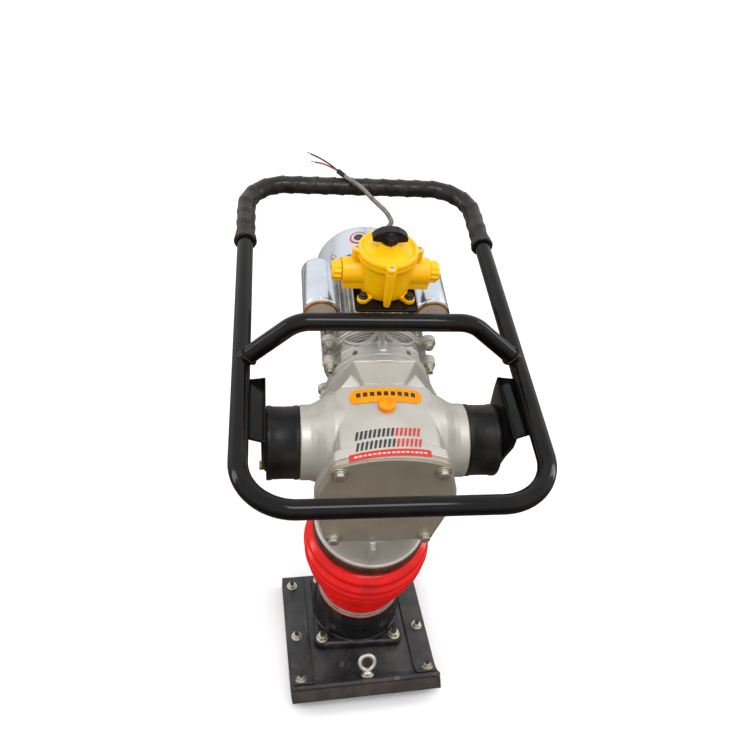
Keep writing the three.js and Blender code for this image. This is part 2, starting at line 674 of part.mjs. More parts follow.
function addLeg(upper) {
  const { outer, inner, bottom, top } = TUBE;
  piece(upper, 'spring_tube', ring(inner, outer, bottom, top, 'z', 20), 'machined');
  const cap = ring(PISTON.rodRadius + 0.5, outer, top + GAP, top + 12, 'z', 20);
  piece(upper, 'spring_tube_cap', cap, 'machined');
  piece(upper, 'spring_lower', coilSpring(40, 5, 96.5, PISTON.plateBottom - GAP, 4), 'machined');
  piece(upper, 'spring_upper', coilSpring(40, 5, PISTON.plateTop + GAP, top, 3), 'machined');
  piece(upper, 'bellows', bellows(), 'red');
  piece(upper, 'clamp_upper', ring(96.6, 98.4, 356, 374, 'z', ROUND), 'machined');
  piece(upper, 'clamp_lower', ring(78.9, 80.6, 155, 170, 'z', ROUND), 'machined');
  piece(upper, 'guide_bush', ring(outer + 0.4, 65.8, SKIRT.bottom, 436, 'z', 20), 'bronze');
}

function addGearbox(upper) {
  piece(upper, 'crankcase', crankcase(), 'cast');
  piece(upper, 'front_cover', frontCover(), 'cast');
  const rows = { upper: [COVER.upperX, COVER.upperUp], lower: [COVER.lowerX, COVER.lowerUp] };
  for (const [row, [x, up]] of Object.entries(rows)) {
    piece(upper, `cover_bolt_${row}_left`, capScrew(11, 13, 9), 'zinc', [-x, COVER.front - GAP, up]);
    piece(upper, `cover_bolt_${row}_right`, capScrew(11, 13, 9), 'zinc', [x, COVER.front - GAP, up]);
  }
  piece(upper, 'oil_plug', oilPlug(), 'orange', [OIL.x, OIL.back, ARCH.centre + ARCH.radius - 2.7]);
  piece(upper, 'crank_bearing', ring(17.3, 27.9, -72.9, -60.5, 'y', 20), 'machined', [0, 0, CRANK.up]);
  piece(upper, 'crank_gear', crankGear(), 'machined', [0, 0, CRANK.up]);
  const pinUp = CRANK.up - CRANK.throwRadius;
  piece(upper, 'con_rod', conRod(), 'machined', [0, 0, pinUp]);
  piece(upper, 'crank_pin', disc(ROD.pin, -13.5, 16, 'y', 18), 'machined', [0, 0, pinUp]);
  const wristUp = pinUp - ROD.length;
  piece(upper, 'piston_rod', pistonRod(wristUp), 'machined');
  piece(upper, 'wrist_pin', disc(ROD.wristPin, -25, 25, 'y', 14), 'machined', [0, 0, wristUp]);
}

function addMotor(upper) {
  const motor = new THREE.Group();
  motor.name = 'motor_group';
  motor.position.set(0, 0, MOTOR.up);
  upper.add(motor);
  piece(motor, 'motor_adapter', motorAdapter(), 'cast');
  piece(motor, 'motor_body', motorBody(), 'cast');
  piece(motor, 'stator_core', ring(46.5, 74.5, 170, 310, 'y', 20), 'copper');
  piece(motor, 'rotor_core', ring(12.05, 45.2, 172, 308, 'y', 20), 'machined');
  const pinionEnd = PINION.back;
  const shaft = turned([[0, PINION.front], [PINION.radius, PINION.front], [PINION.radius, pinionEnd], [12, pinionEnd],
    [12, 374], [0, 374]], 'y', 20);
  piece(motor, 'motor_shaft', shaft, 'machined');
  piece(motor, 'shaft_bearing', ring(12.3, 25.7, 84, 100, 'y', 18), 'machined');
  piece(motor, 'rear_bell', rearBell(), 'satinBlack');
  piece(motor, 'cooling_fan', fan(), 'plastic');
  piece(motor, 'fan_cover', fanCover(), 'cast');
  const offset = CAPACITOR.up - MOTOR.up;
  for (const [side, sx] of Object.entries({ left: -1, right: 1 })) {
    const place = [sx * CAPACITOR.x, 0, offset];
    const can = turned([[0, CAPACITOR.front], [CAPACITOR.radius, CAPACITOR.front], [CAPACITOR.radius, CAPACITOR.back - 4],
      [CAPACITOR.radius - 4, CAPACITOR.back], [0, CAPACITOR.back]], 'y', 20);
    piece(motor, `capacitor_${side}`, can, 'machined', place);
    const lidProfile = [[0, 186], [23, 186], [23, 184], [CAPACITOR.radius, 184], [CAPACITOR.radius, CAPACITOR.front - GAP],
      [0, CAPACITOR.front - GAP]];
    piece(motor, `capacitor_cap_${side}`, turned(lidProfile, 'y', 20), 'bronze', place);
  }
}

function addHandle(upper) {
  const frame = new THREE.Group();
  frame.name = 'handle_group';
  frame.position.set(0, 0, HANDLE.up);
  upper.add(frame);
  const seam = GRIP.start + 12;
  piece(frame, 'tube_front', bentTube(loopHalf(HANDLE.front, seam), HANDLE.radius, 14), 'black');
  piece(frame, 'tube_rear', bentTube(loopHalf(HANDLE.back, seam + GAP), HANDLE.radius, 14), 'black');
  piece(frame, 'grip_sleeve', gripSleeve(), 'grip');
  piece(frame, 'bridge_tube', bridge(), 'black');
  for (const [side, sx] of Object.entries({ left: -1, right: 1 })) {
    piece(upper, `bracket_${side}`, bracket(sx), 'black');
    const from = sx > 0 ? MOUNT.inner : -MOUNT.outer;
    const to = sx > 0 ? MOUNT.outer : -MOUNT.inner;
    piece(upper, `mount_rubber_${side}`, disc(MOUNT.radius, from, to, 'x', 20), 'rubber', [0, TRUNNION.back, TRUNNION.up]);
  }
}

function addSwitch(upper) {
  const box = new THREE.Group();
  box.name = 'switch_group';
  box.position.set(SWITCH.x, SWITCH.back, SWITCH.base);
  upper.add(box);
  const plate = slab(roundedOutline(0, 0, 48, 57, 6), -4.3, -GAP, 'z');
  const bar = disc(HANDLE.radius + GAP, -100, 100, 'x', 20);
  bar.translate(0, BRIDGE.back - SWITCH.back, BRIDGE.up - SWITCH.base);
  piece(box, 'switch_plate', shell(solid(plate).subtract(solid(bar)).subtract(solid(block(-99, 99, -99, -78, -9, 9)))), 'black');
  piece(box, 'switch_body', switchBody(), 'yellow');
  const lidUp = SWITCH.lidUp - SWITCH.base;
  piece(box, 'switch_lid', switchLid(), 'yellow', [0, 0, lidUp]);
  piece(box, 'switch_knob', knob(), 'plastic', [0, 0, lidUp + 19.4]);
  const entry = SWITCH.entryUp - SWITCH.base;
  piece(box, 'gland_nut_right', glandNut(), 'yellow', [67.3, 0, entry]);
  const left = piece(box, 'gland_nut_left', glandNut(), 'yellow', [-67.3, 0, entry]);
  left.rotation.z = Math.PI;
  piece(box, 'cord_gland', cordGland(), 'yellow', [0, 56.3, entry]);
  piece(upper, 'power_cord', powerCord(), 'cable');
}

function build() {
  const machine = new THREE.Group();
  machine.name = 'jumping_jack_rammer';
  addFoot(machine);
  const upper = new THREE.Group();
  upper.name = 'leaning_group';
  upper.position.set(0, LEAN_PIVOT_Y, 0);
  upper.rotation.x = LEAN;
  machine.add(upper);
  addLeg(upper);
  addGearbox(upper);
  addMotor(upper);
  addHandle(upper);
  addSwitch(upper);
  return machine;
}

export default build();
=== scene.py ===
"""Looks of an electric jumping jack rammer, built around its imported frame."""
import math
import bmesh
import bpy
from mathutils import Matrix, Vector


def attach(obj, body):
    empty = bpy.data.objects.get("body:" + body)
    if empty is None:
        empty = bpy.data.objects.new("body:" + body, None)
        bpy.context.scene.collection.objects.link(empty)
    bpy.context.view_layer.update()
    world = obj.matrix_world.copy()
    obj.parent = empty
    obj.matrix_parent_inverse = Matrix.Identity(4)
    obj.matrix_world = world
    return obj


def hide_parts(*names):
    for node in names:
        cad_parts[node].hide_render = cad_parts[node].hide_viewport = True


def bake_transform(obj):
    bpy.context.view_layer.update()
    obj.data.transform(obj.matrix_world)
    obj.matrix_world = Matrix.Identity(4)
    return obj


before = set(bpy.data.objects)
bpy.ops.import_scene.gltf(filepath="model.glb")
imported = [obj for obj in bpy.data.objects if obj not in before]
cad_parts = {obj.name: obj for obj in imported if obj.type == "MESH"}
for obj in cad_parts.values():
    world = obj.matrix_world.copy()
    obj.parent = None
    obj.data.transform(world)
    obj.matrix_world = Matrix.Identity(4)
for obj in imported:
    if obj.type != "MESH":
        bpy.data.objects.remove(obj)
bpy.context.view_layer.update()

# Lengths are millimetres in (x, back, up) of one of three frames; MM turns them into metres.
MM = 0.001
ANKLE, LEAN = 50, Matrix.Rotation(math.radians(12), 4, "X")
LEG = Matrix.Translation((0, ANKLE * MM, 0)) @ LEAN
FOOT = Matrix.Rotation(math.radians(3), 4, "Z")
GROUND = Matrix.Identity(4)
QUARTER = math.radians(90)
LEFT, RIGHT = -1, 1
SIDES = ((LEFT, "left"), (RIGHT, "right"))

SOLE = {"half": 141, "rear": 134, "pad": 22, "plate": 7}
TOE = {"start": -97, "radius": 75, "angle": math.radians(45), "run": 14, "steps": 22}
STRAP = {"thick": 4, "width": 40, "inset": 4, "rear": 128, "run": 4}
DECK = SOLE["pad"] + SOLE["plate"] + 0.6
EYE = {"x": 4, "tilt": math.radians(33), "radius": 14, "middle": 25, "wire": 4.2}
BASE = {"front": -55, "rear": 121, "half": 86, "thick": 14, "bolt_x": 71, "bolts": (-38, 104)}
DOME = {"radius": 85, "bottom": 62, "top": 150, "shoulder": 73}
COIL = {"radius": 40, "wire": 5}
BELLOWS = {"bottom": 151, "top": 375, "folds": 7}
CASE = {"front": -73, "radius": 107, "centre": 557, "boss": 58, "reach": 127.5}
COVER = {"front": -85, "back": -73.3, "half": 89.5, "low": 444, "waist": 104}
COVER_BOLTS = ((74.5, 635), (73, 459))
ARCH = {"radius": 190, "centre": 477}
TRUNNION = {"back": 12, "up": 581}
OIL = (-1.5, 11)
MOTOR = {"up": 609, "front": 152, "back": 330, "fins": 32}
FAN = {"radius": 86, "front": 338, "back": 418}
CAPACITOR = {"x": 91, "up": 683, "radius": 28.5, "front": 192, "back": 301}
HANDLE = {"up": 674, "half": 214.6, "front": -167, "back": 566, "bend": 78, "radius": 13.8, "seam": 410}
GRIP = {"start": 398, "pitch": 33}
BRIDGE = {"half": 132, "back": 112, "up": 741, "foot": 97, "bend": 55}
MOUNT = {"radius": 57, "inner": 127.8, "outer": 178}
BRACKET = {"thick": 6, "top": 668, "front": -52, "rear": 68}
SWITCH = {"x": 3, "back": 189, "base": 746.3, "lid": 812, "radius": 42, "rim": 45.5, "entry": 776}
CORD_RADIUS = 4


# --- shapes: each is (points, faces) in millimetres -----------------------------------------------
def turned(profile, axis="z", segments=80, twist=0.0):
    """Turn (radius, height) pairs round an axis; a closed profile repeats its first pair."""
    ring_shape = profile[0] == profile[-1]
    pairs = profile[:-1] if ring_shape else profile
    points, rings, faces = [], [], []
    for radius, height in pairs:
        count = 1 if radius < 1e-6 else segments
        rings.append(range(len(points), len(points) + count))
        for k in range(count):
            angle = twist + 2 * math.pi * k / segments
            points.append((radius * math.cos(angle), radius * math.sin(angle), height))
    links = list(zip(rings, rings[1:]))
    if ring_shape:
        links.append((rings[-1], rings[0]))
    for low, high in links:
        for k in range(segments):
            n = (k + 1) % segments
            corners = [low[k % len(low)], low[n % len(low)], high[n % len(high)], high[k % len(high)]]
            corners = list(dict.fromkeys(corners))
            if len(corners) > 2:
                faces.append(corners)
    if axis == "x":
        points = [(z, y, -x) for x, y, z in points]
    if axis == "y":
        points = [(x, z, -y) for x, y, z in points]
    return [Vector(p) for p in points], faces


def disc(radius, low, high, axis="z", edge=0.0, segments=64, twist=0.0):
    """A short cylinder with its two rims rounded off by edge."""
    if edge:
        profile = [(0, low), (radius - edge, low), (radius - 0.3 * edge, low + 0.3 * edge),
                   (radius, low + edge),
                   (radius, high - edge), (radius - 0.3 * edge, high - 0.3 * edge), (radius - edge, high),
                   (0, high)]
    else:
        profile = [(0, low), (radius, low), (radius, high), (0, high)]
    return turned(profile, axis, segments, twist)


def ring(inner, outer, low, high, axis="z", segments=80):
    return turned([(inner, low), (outer, low), (outer, high), (inner, high), (inner, low)], axis, segments)


def prism(outline, low, high, axis="z"):
    """Push a flat outline along an axis: (x, y) along z, (y, z) along x, (x, z) along y."""
    place = {"z": lambda u, v, h: (u, v, h), "x": lambda u, v, h: (h, u, v), "y": lambda u, v,
             h: (u, h, v)}[axis]
    count = len(outline)
    points = [Vector(place(u, v, low)) for u, v in outline] + [Vector(place(u, v, high)) for u, v in outline]
    faces = [list(range(count)), list(range(count, 2 * count))]
    faces += [[k, (k + 1) % count, count + (k + 1) % count, count + k] for k in range(count)]
    return points, faces


def block(x0, x1, y0, y1, z0, z1):
    return prism([(x0, y0), (x1, y0), (x1, y1), (x0, y1)], z0, z1)


def ball(radius, centre, segments=24):
    steps = 12
    profile = [(radius * math.sin(math.pi * k / steps), -radius * math.cos(math.pi * k / steps))
               for k in range(steps + 1)]
    profile[0], profile[-1] = (0, -radius), (0, radius)
    return moved(turned(profile, "z", segments), centre)


def rounded_outline(cu, cv, half_u, half_v, radius, steps=8):
    points = []
    for su, sv, start in ((1, 1, 0), (-1, 1, 90), (-1, -1, 180), (1, -1, 270)):
        for k in range(steps + 1):
            angle = math.radians(start + 90 * k / steps)
            u = cu + su * (half_u - radius) + radius * math.cos(angle)
            points.append((u, cv + sv * (half_v - radius) + radius * math.sin(angle)))
    return points


def moved(part, place=(0, 0, 0), turn=0.0, axis="Z"):
    """Turn a part about its own origin, in radians, then shift it."""
    matrix = Matrix.Translation(place) @ Matrix.Rotation(turn, 4, axis)
    return [matrix @ p for p in part[0]], part[1]


def polar(radius, degrees, up=0.0):
    """A place round the z axis: degrees from +X."""
    angle = math.radians(degrees)
    return radius * math.cos(angle), radius * math.sin(angle), up


def together(*parts):
    points, faces = [], []
    for part_points, part_faces in parts:
        shift = len(points)
        points += part_points
        faces += [[i + shift for i in face] for face in part_faces]
    return points, faces


def swept(route, radius, sides=28, closed=False):
    """A round section carried along a route; radius may be a function of (length so far, angle)."""
    route = [Vector(p) for p in route]
    count = len(route)
    size = radius if callable(radius) else (lambda along, angle: radius)
    tangents = []
    for k in range(count):
        before = route[(k - 1) % count] if closed else route[max(k - 1, 0)]
        after = route[(k + 1) % count] if closed else route[min(k + 1, count - 1)]
        tangents.append((after - before).normalized())
    side = tangents[0].orthogonal().normalized()
    points, faces, along = [], [], 0.0
    for k, centre in enumerate(route):
        if k:
            along += (centre - route[k - 1]).length
        side = (side - tangents[k] * side.dot(tangents[k])).normalized()
        other = tangents[k].cross(side)
        for s in range(sides):
            angle = 2 * math.pi * s / sides
            points.append(centre + (side * math.cos(angle) + other * math.sin(angle)) * size(along, angle))
    for k in range(count if closed else count - 1):
        here, ahead = k * sides, ((k + 1) % count) * sides
        for s in range(sides):
            n = (s + 1) % sides
            faces.append([here + s, here + n, ahead + n, ahead + s])
    if not closed:
        faces += [list(range(sides)), list(range((count - 1) * sides, count * sides))]
    return points, faces


def rounded_route(corners, radius, steps=20, spacing=None):
    """A polyline with its inner corners turned into arcs, filled in at about one spacing."""
    corners = [Vector(c) for c in corners]
    points = [corners[0]]
    for before, here, after in zip(corners, corners[1:], corners[2:]):
        back, ahead = (before - here).normalized(), (after - here).normalized()
        half = back.angle(ahead) / 2
        centre = here + (back + ahead).normalized() * (radius / math.sin(half))
        start = here + back * (radius / math.tan(half)) - centre
        end = here + ahead * (radius / math.tan(half)) - centre
        turn = start.angle(end)
        for k in range(steps + 1):
            t = k / steps
            weight = math.sin((1 - t) * turn) / math.sin(turn), math.sin(t * turn) / math.sin(turn)
            points.append(centre + start * weight[0] + end * weight[1])
    points.append(corners[-1])
    if spacing is None:
        return points
    filled = [points[0]]
    for start, end in zip(points, points[1:]):
        pieces = max(1, round((end - start).length / spacing))
        filled += [start.lerp(end, (k + 1) / pieces) for k in range(pieces)]
    return filled


def smooth_route(stops, spacing):
    """A Catmull-Rom line through the stops, with points at about one spacing."""
    stops = [Vector(s) for s in stops]
    ends = [stops[0] * 2 - stops[1]] + stops + [stops[-1] * 2 - stops[-2]]
    route = []
    for a, b, c, d in zip(ends, ends[1:], ends[2:], ends[3:]):
        pieces = max(2, round((c - b).length / spacing))
        for k in range(pieces):
            t = k / pieces
            route.append(0.5 * ((2 * b) + (c - a) * t + (2 * a - 5 * b + 4 * c - d) * t * t
                                + (3 * b - a - 3 * c + d) * t ** 3))
    return route + [stops[-1]]


# --- pieces ---------------------------------------------------------------------------------------
def settle(obj):
    """Replace an object's mesh by what its modifiers make of it."""
    graph = bpy.context.evaluated_depsgraph_get()
    graph.update()
    mesh = bpy.data.meshes.new_from_object(obj.evaluated_get(graph))
    obj.modifiers.clear()
    obj.data = mesh


def raw_object(name, part, place):
    mesh = bpy.data.meshes.new(name)
    mesh.from_pydata([place @ (p * MM) for p in part[0]], [], part[1])
    work = bmesh.new()
    work.from_mesh(mesh)
    bmesh.ops.recalc_face_normals(work, faces=work.faces)
    work.to_mesh(mesh)
    work.free()
    obj = bpy.data.objects.new(name, mesh)
    bpy.context.scene.collection.objects.link(obj)
    return obj


def carve(obj, part, place):
    cutter = raw_object(obj.name + "_cutter", part, place)
    cut = obj.modifiers.new("carve", "BOOLEAN")
    cut.operation = "DIFFERENCE"
    cut.solver = "EXACT"
    cut.object = cutter
    settle(obj)
    bpy.data.objects.remove(cutter)


def piece(name, part, place, paint, body, stands_for=None, edge=0.0, cast=None, cuts=None, crease=32):
    """One visible piece: edge rounds its sharp edges, cast fuses its parts, cuts are bored last."""
    obj = raw_object(name, part, place)
    if cast:
        voxel, rounds = cast
        fuse = obj.modifiers.new("fuse", "REMESH")
        fuse.mode = "VOXEL"
        fuse.voxel_size = voxel * MM
        relax = obj.modifiers.new("relax", "SMOOTH")
        relax.factor = 0.5
        relax.iterations = rounds
        settle(obj)
    if cuts:
        carve(obj, cuts, place)
    if edge:
        bevel = obj.modifiers.new("edge", "BEVEL")
        bevel.width = edge * MM
        bevel.segments = 3
        bevel.limit_method = "ANGLE"
        bevel.angle_limit = math.radians(28)
        bevel.use_clamp_overlap = True
        settle(obj)
    obj.data.shade_smooth()
    if not cast or cuts:
        obj.data.set_sharp_from_angle(angle=math.radians(crease))
    obj.data.materials.clear()
    obj.data.materials.append(PAINTS[paint])
    if stands_for:
        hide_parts(stands_for)
    if body:
        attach(obj, body)
    return obj


# --- materials ------------------------------------------------------------------------------------
def linear(colour):
    """A screen colour, three numbers to 255, as a linear colour; four numbers are linear already."""
    if len(colour) == 4:
        return colour
    parts = []
    for value in colour:
        c = value / 255
        parts.append(c / 12.92 if c <= 0.04045 else ((c + 0.055) / 1.055) ** 2.4)
    return (*parts, 1.0)


class Paint:
    """A Principled material whose colour, roughness and bump come from layered noise."""

    def __init__(self, name, colour, rough, metal=0.0, coat=0.0, shine=0.5):
        self.material = bpy.data.materials.new(name)
        self.material.use_nodes = True
        self.nodes = self.material.node_tree.nodes
        self.links = self.material.node_tree.links
        self.shader = self.nodes["Principled BSDF"]
        self.shader.inputs["Metallic"].default_value = metal
        self.shader.inputs["Coat Weight"].default_value = coat
        self.shader.inputs["Coat Roughness"].default_value = 0.06
        self.shader.inputs["Roughness"].default_value = rough
        self.shader.inputs["Specular IOR Level"].default_value = shine
        self.rough = rough
        self.colour = self.nodes.new("ShaderNodeRGB").outputs[0]
        self.colour.default_value = linear(colour)
        self.normal = None
        self.coordinates = self.nodes.new("ShaderNodeTexCoord").outputs["Object"]

    def noise(self, scale, detail=4.0, stretch=(1, 1, 1), roughness=0.55):
        mapping = self.nodes.new("ShaderNodeMapping")
        mapping.inputs["Scale"].default_value = stretch
        self.links.new(self.coordinates, mapping.inputs["Vector"])
        texture = self.nodes.new("ShaderNodeTexNoise")
        texture.inputs["Scale"].default_value = scale
        texture.inputs["Detail"].default_value = detail
        texture.inputs["Roughness"].default_value = roughness
        self.links.new(mapping.outputs["Vector"], texture.inputs["Vector"])
        return texture.outputs["Fac"]

    def ramp(self, source, low, high, to_low=0.0, to_high=1.0):
        node = self.nodes.new("ShaderNodeMapRange")
        node.inputs["From Min"].default_value = low
        node.inputs["From Max"].default_value = high
        node.inputs["To Min"].default_value = to_low
        node.inputs["To Max"].default_value = to_high
        self.links.new(source, node.inputs["Value"])
        return node.outputs["Result"]

    def mix(self, colour, factor):
        node = self.nodes.new("ShaderNodeMix")
        node.data_type = "RGBA"
        self.links.new(factor, node.inputs["Factor"])
        self.links.new(self.colour, node.inputs["A"])
        node.inputs["B"].default_value = linear(colour)
        self.colour = node.outputs["Result"]
        return self

    def cloud(self, colour, scale, low=0.42, high=0.68, amount=1.0, stretch=(1, 1, 1)):
        """Blend towards another colour in soft patches."""
        return self.mix(colour, self.ramp(self.noise(scale, stretch=stretch), low, high, 0.0, amount))

    def uneven(self, scale, spread, stretch=(1, 1, 1)):
        """Vary the roughness by plus or minus spread."""
        patches = self.ramp(self.noise(scale, stretch=stretch), 0.3, 0.7, self.rough - spread,
                            self.rough + spread)
        self.links.new(patches, self.shader.inputs["Roughness"])
        return self

    def bump(self, scale, depth, strength=1.0, detail=3.0, stretch=(1, 1, 1)):
        """Raise and lower the surface by about depth millimetres."""
        node = self.nodes.new("ShaderNodeBump")
        node.inputs["Distance"].default_value = depth * MM
        node.inputs["Strength"].default_value = strength
        self.links.new(self.noise(scale, detail, stretch), node.inputs["Height"])
        if self.normal:
            self.links.new(self.normal, node.inputs["Normal"])
        self.normal = node.outputs["Normal"]
        return self

    def worn(self, colour, low=0.53, high=0.6):
        """Show another colour where the surface curves outwards."""
        edge = self.nodes.new("ShaderNodeNewGeometry").outputs["Pointiness"]
        return self.mix(colour, self.ramp(edge, low, high))

    def subsurface(self, weight, radius_mm):
        self.shader.inputs["Subsurface Weight"].default_value = weight
        self.shader.inputs["Subsurface Radius"].default_value = (1.0, 0.4, 0.2)
        self.shader.inputs["Subsurface Scale"].default_value = radius_mm * MM
        return self

    def done(self):
        self.links.new(self.colour, self.shader.inputs["Base Color"])
        if self.normal:
            self.links.new(self.normal, self.shader.inputs["Normal"])
            self.links.new(self.normal, self.shader.inputs["Coat Normal"])
        return self.material


def make_paints():
    dust = (92, 88, 82)
    paints = {
        "enamel": Paint("black_enamel", (6, 5, 6), 0.08, shine=0.22).cloud((18, 15, 13), 26)
        .uneven(60, 0.04).bump(260, 0.06, 0.35),
        "satin": Paint("satin_black", (24, 23, 23), 0.42, shine=0.3).cloud((48, 45, 43), 30).uneven(70, 0.1)
        .bump(420, 0.12, 0.5),
        "foot": Paint("foot_paint", (34, 34, 37), 0.34, shine=0.4).cloud((64, 62, 60), 18, 0.4, 0.7)
        .cloud(dust, 55, 0.6, 0.72, 0.7, (1, 0.35, 1)).cloud((128, 124, 118), 420, 0.66, 0.72, 0.6)
        .worn((120, 116, 110), 0.56, 0.68).uneven(45, 0.12).bump(160, 0.25, 0.4),
        "pad": Paint("pad_polymer", (44, 38, 36), 0.7, shine=0.3).cloud((66, 57, 52), 40, 0.4, 0.7)
        .cloud((34, 30, 27), 160, 0.55, 0.7, 0.8).uneven(80, 0.1).bump(240, 0.5, 0.6),
        "casting": Paint("foot_casting", (16, 15, 16), 0.36, coat=0.1, shine=0.35).cloud((50, 46, 42), 34,
                                                                                         0.5, 0.75)
        .worn((96, 90, 82), 0.54, 0.62).uneven(60, 0.1).bump(330, 0.35, 0.6).bump(70, 0.6, 0.25),
        "zinc": Paint("zinc_plate", (196, 193, 180), 0.38, metal=0.9).cloud((168, 160, 140), 90, 0.45, 0.7,
                                                                            0.6)
        .uneven(140, 0.1).bump(500, 0.06, 0.4),
        "dark_steel": Paint("dark_steel", (52, 48, 44), 0.45, metal=0.8).cloud((86, 74, 60), 120)
        .uneven(160, 0.1).bump(600, 0.1, 0.5),
        "steel": Paint("machined_steel", (176, 176, 174), 0.28, metal=1.0).cloud((150, 148, 142), 60)
        .uneven(90, 0.08, (1, 1, 14)).bump(300, 0.04, 0.4, 3, (1, 1, 16)),
        "spring": Paint("spring_steel", (96, 95, 96), 0.35, metal=0.9).cloud((60, 56, 52), 80)
        .uneven(90, 0.1).bump(300, 0.08, 0.4),
        "band": Paint("band_steel", (196, 192, 182), 0.3, metal=0.45).cloud((160, 154, 142), 50)
        .uneven(60, 0.08, (1, 1, 10)).bump(200, 0.05, 0.5, 3, (1, 1, 12)),
        # The upper band's steel: the lower band's steel, made darker and browner.
        "dark_band": Paint("darker_band_steel", (92, 80, 66), 0.34, metal=0.8).cloud((58, 50, 42), 50)
        .uneven(60, 0.08, (1, 1, 10)).bump(200, 0.05, 0.5, 3, (1, 1, 12)),
        "red": Paint("red_moulding", (232, 6, 3), 0.16, shine=0.3).cloud((206, 4, 4), 30)
        .uneven(50, 0.06).bump(90, 0.25, 0.14).subsurface(0.04, 2),
        "cast": Paint("sand_cast", (190, 187, 179), 0.44, metal=0.45).cloud((172, 167, 157), 16, 0.4, 0.7,
                                                                            0.6)
        .cloud((212, 210, 204), 520, 0.58, 0.7, 0.5).cloud((136, 128, 112), 340, 0.68, 0.78, 0.4)
        .uneven(60, 0.08).bump(760, 0.24, 0.6),
        # The front cover's own cast grey with painted shade: darker and browner than the gearbox's cast, for
        # the shade on its forward, down-facing face.
        "cover": Paint("shaded_cover_cast", (172, 163, 148), 0.44, metal=0.4).cloud((158, 148, 132), 14, 0.4, 0.7)
        .cloud((194, 186, 172), 520, 0.6, 0.72, 0.4).uneven(60, 0.08).bump(760, 0.22, 0.6),
        "fins": Paint("motor_casting", (196, 194, 190), 0.32, metal=0.85).cloud((160, 154, 146), 26, 0.4, 0.7)
        .uneven(60, 0.09).bump(520, 0.15, 0.5),
        "cowl": Paint("cowl_paint", (196, 202, 210), 0.34, metal=0.4, coat=0.1).cloud((184, 190, 200), 18)
        .uneven(40, 0.06).bump(700, 0.06, 0.4),
        "can": Paint("drawn_can", (206, 212, 220), 0.24, metal=0.9).cloud((190, 198, 208), 20)
        .uneven(40, 0.05, (1, 0.06, 1)).bump(240, 0.04, 0.5, 3, (1, 0.05, 1)),
        "cap_rim": Paint("golden_rim", (182, 122, 52), 0.3, metal=0.6).cloud((132, 84, 40), 70)
        .uneven(70, 0.08).bump(300, 0.08, 0.4),
        "cap_face": Paint("cap_face", (176, 162, 146), 0.5).cloud((190, 178, 160), 60)
        .uneven(80, 0.1).bump(340, 0.15, 0.5),
        "grip": Paint("wrapped_grip", (24, 20, 19), 0.28, shine=0.3).cloud((56, 48, 42), 40, 0.45, 0.7)
        .cloud((18, 16, 16), 160, 0.5, 0.65, 0.8).uneven(60, 0.12).bump(420, 0.18, 0.6),
        "rubber": Paint("mount_rubber", (14, 12, 12), 0.4, shine=0.22).cloud((42, 37, 34), 30, 0.45, 0.75)
        .uneven(50, 0.1).bump(380, 0.15, 0.5),
        "yellow": Paint("yellow_moulding", (250, 190, 0), 0.32, coat=0.05, shine=0.3).cloud((244, 176, 0), 30)
        .uneven(60, 0.07).bump(520, 0.08, 0.4).subsurface(0.15, 3),
        "orange": Paint("orange_moulding", (240, 150, 2), 0.32, shine=0.25).cloud((222, 122, 4), 60)
        .uneven(60, 0.06).bump(420, 0.1, 0.4).subsurface(0.1, 2),
        "label": Paint("orange_label", (240, 150, 4), 0.4, shine=0.15).cloud((238, 138, 6), 40)
        .uneven(60, 0.06).bump(300, 0.04, 0.4),
        "print_dark": Paint("dark_print", (36, 33, 34), 0.4).cloud((58, 54, 54), 140)
        .uneven(90, 0.08).bump(400, 0.03, 0.4),
        "print_red": Paint("red_print", (196, 44, 38), 0.4).cloud((176, 34, 30), 110)
        .uneven(90, 0.08).bump(400, 0.03, 0.4),
        "print_pale": Paint("pale_print", (226, 196, 188), 0.4).cloud((206, 168, 160), 110)
        .uneven(90, 0.08).bump(400, 0.03, 0.4),
        "black": Paint("black_moulding", (11, 11, 13), 0.36, shine=0.2).cloud((38, 38, 40), 60)
        .uneven(60, 0.1).bump(460, 0.12, 0.5),
        "jacket": Paint("cord_jacket", (122, 115, 100), 0.45, shine=0.3).cloud((96, 92, 82), 60)
        .cloud((58, 54, 48), 26, 0.55, 0.75, 0.8).uneven(60, 0.1).bump(500, 0.1, 0.5),
        "wire_red": Paint("red_wire", (170, 36, 28), 0.4).cloud((130, 26, 22), 200)
        .uneven(90, 0.08).bump(600, 0.05, 0.4),
        "copper": Paint("bare_copper", (184, 120, 84), 0.35, metal=1.0).cloud((140, 84, 56), 400)
        .uneven(90, 0.1).bump(900, 0.08, 0.5),
        "bronze": Paint("turned_bronze", (190, 150, 84), 0.3, metal=1.0).cloud((150, 112, 60), 80)
        .uneven(90, 0.08, (1, 1, 14)).bump(300, 0.05, 0.4, 3, (1, 1, 16)),
        "core": Paint("laminated_core", (120, 86, 66), 0.45, metal=0.6).cloud((80, 56, 42), 60)
        .uneven(60, 0.1).bump(900, 0.12, 0.6, 2, (1, 12, 1)),
    }
    return {name: paint.done() for name, paint in paints.items()}


PAINTS = make_paints()


# --- fixings --------------------------------------------------------------------------------------
def hexagon(across, low, high, axis="z", twist=0.0):
    """A hexagonal head with its top corners turned off."""
    corner = across / 2 / math.cos(math.pi / 6)
    chamfer = 0.14 * (corner - across / 2) + 0.5
    profile = [(0, low), (corner, low), (corner, high - chamfer), (corner - 2.2 * chamfer, high), (0, high)]
    return turned(profile, axis, 6, twist)


def nut(across, washer, height):
    """Washer and nut standing on z = 0."""
    return together(disc(washer, 0, 2, edge=0.5), hexagon(across, 1.6, height))


def stud_end(height, stud, reach):
    """The threaded end of a stud above a nut of some height."""
    thread = [(0, height - 2), (stud, height - 2)]
    turns = int(reach / 1.25)
    for k in range(turns):
        thread += [(stud - 0.5, height + 0.4 + 1.25 * k), (stud, height + 1.0 + 1.25 * k)]
    thread += [(stud - 1, height + reach), (0, height + reach)]
    return turned(thread, "z", 28)


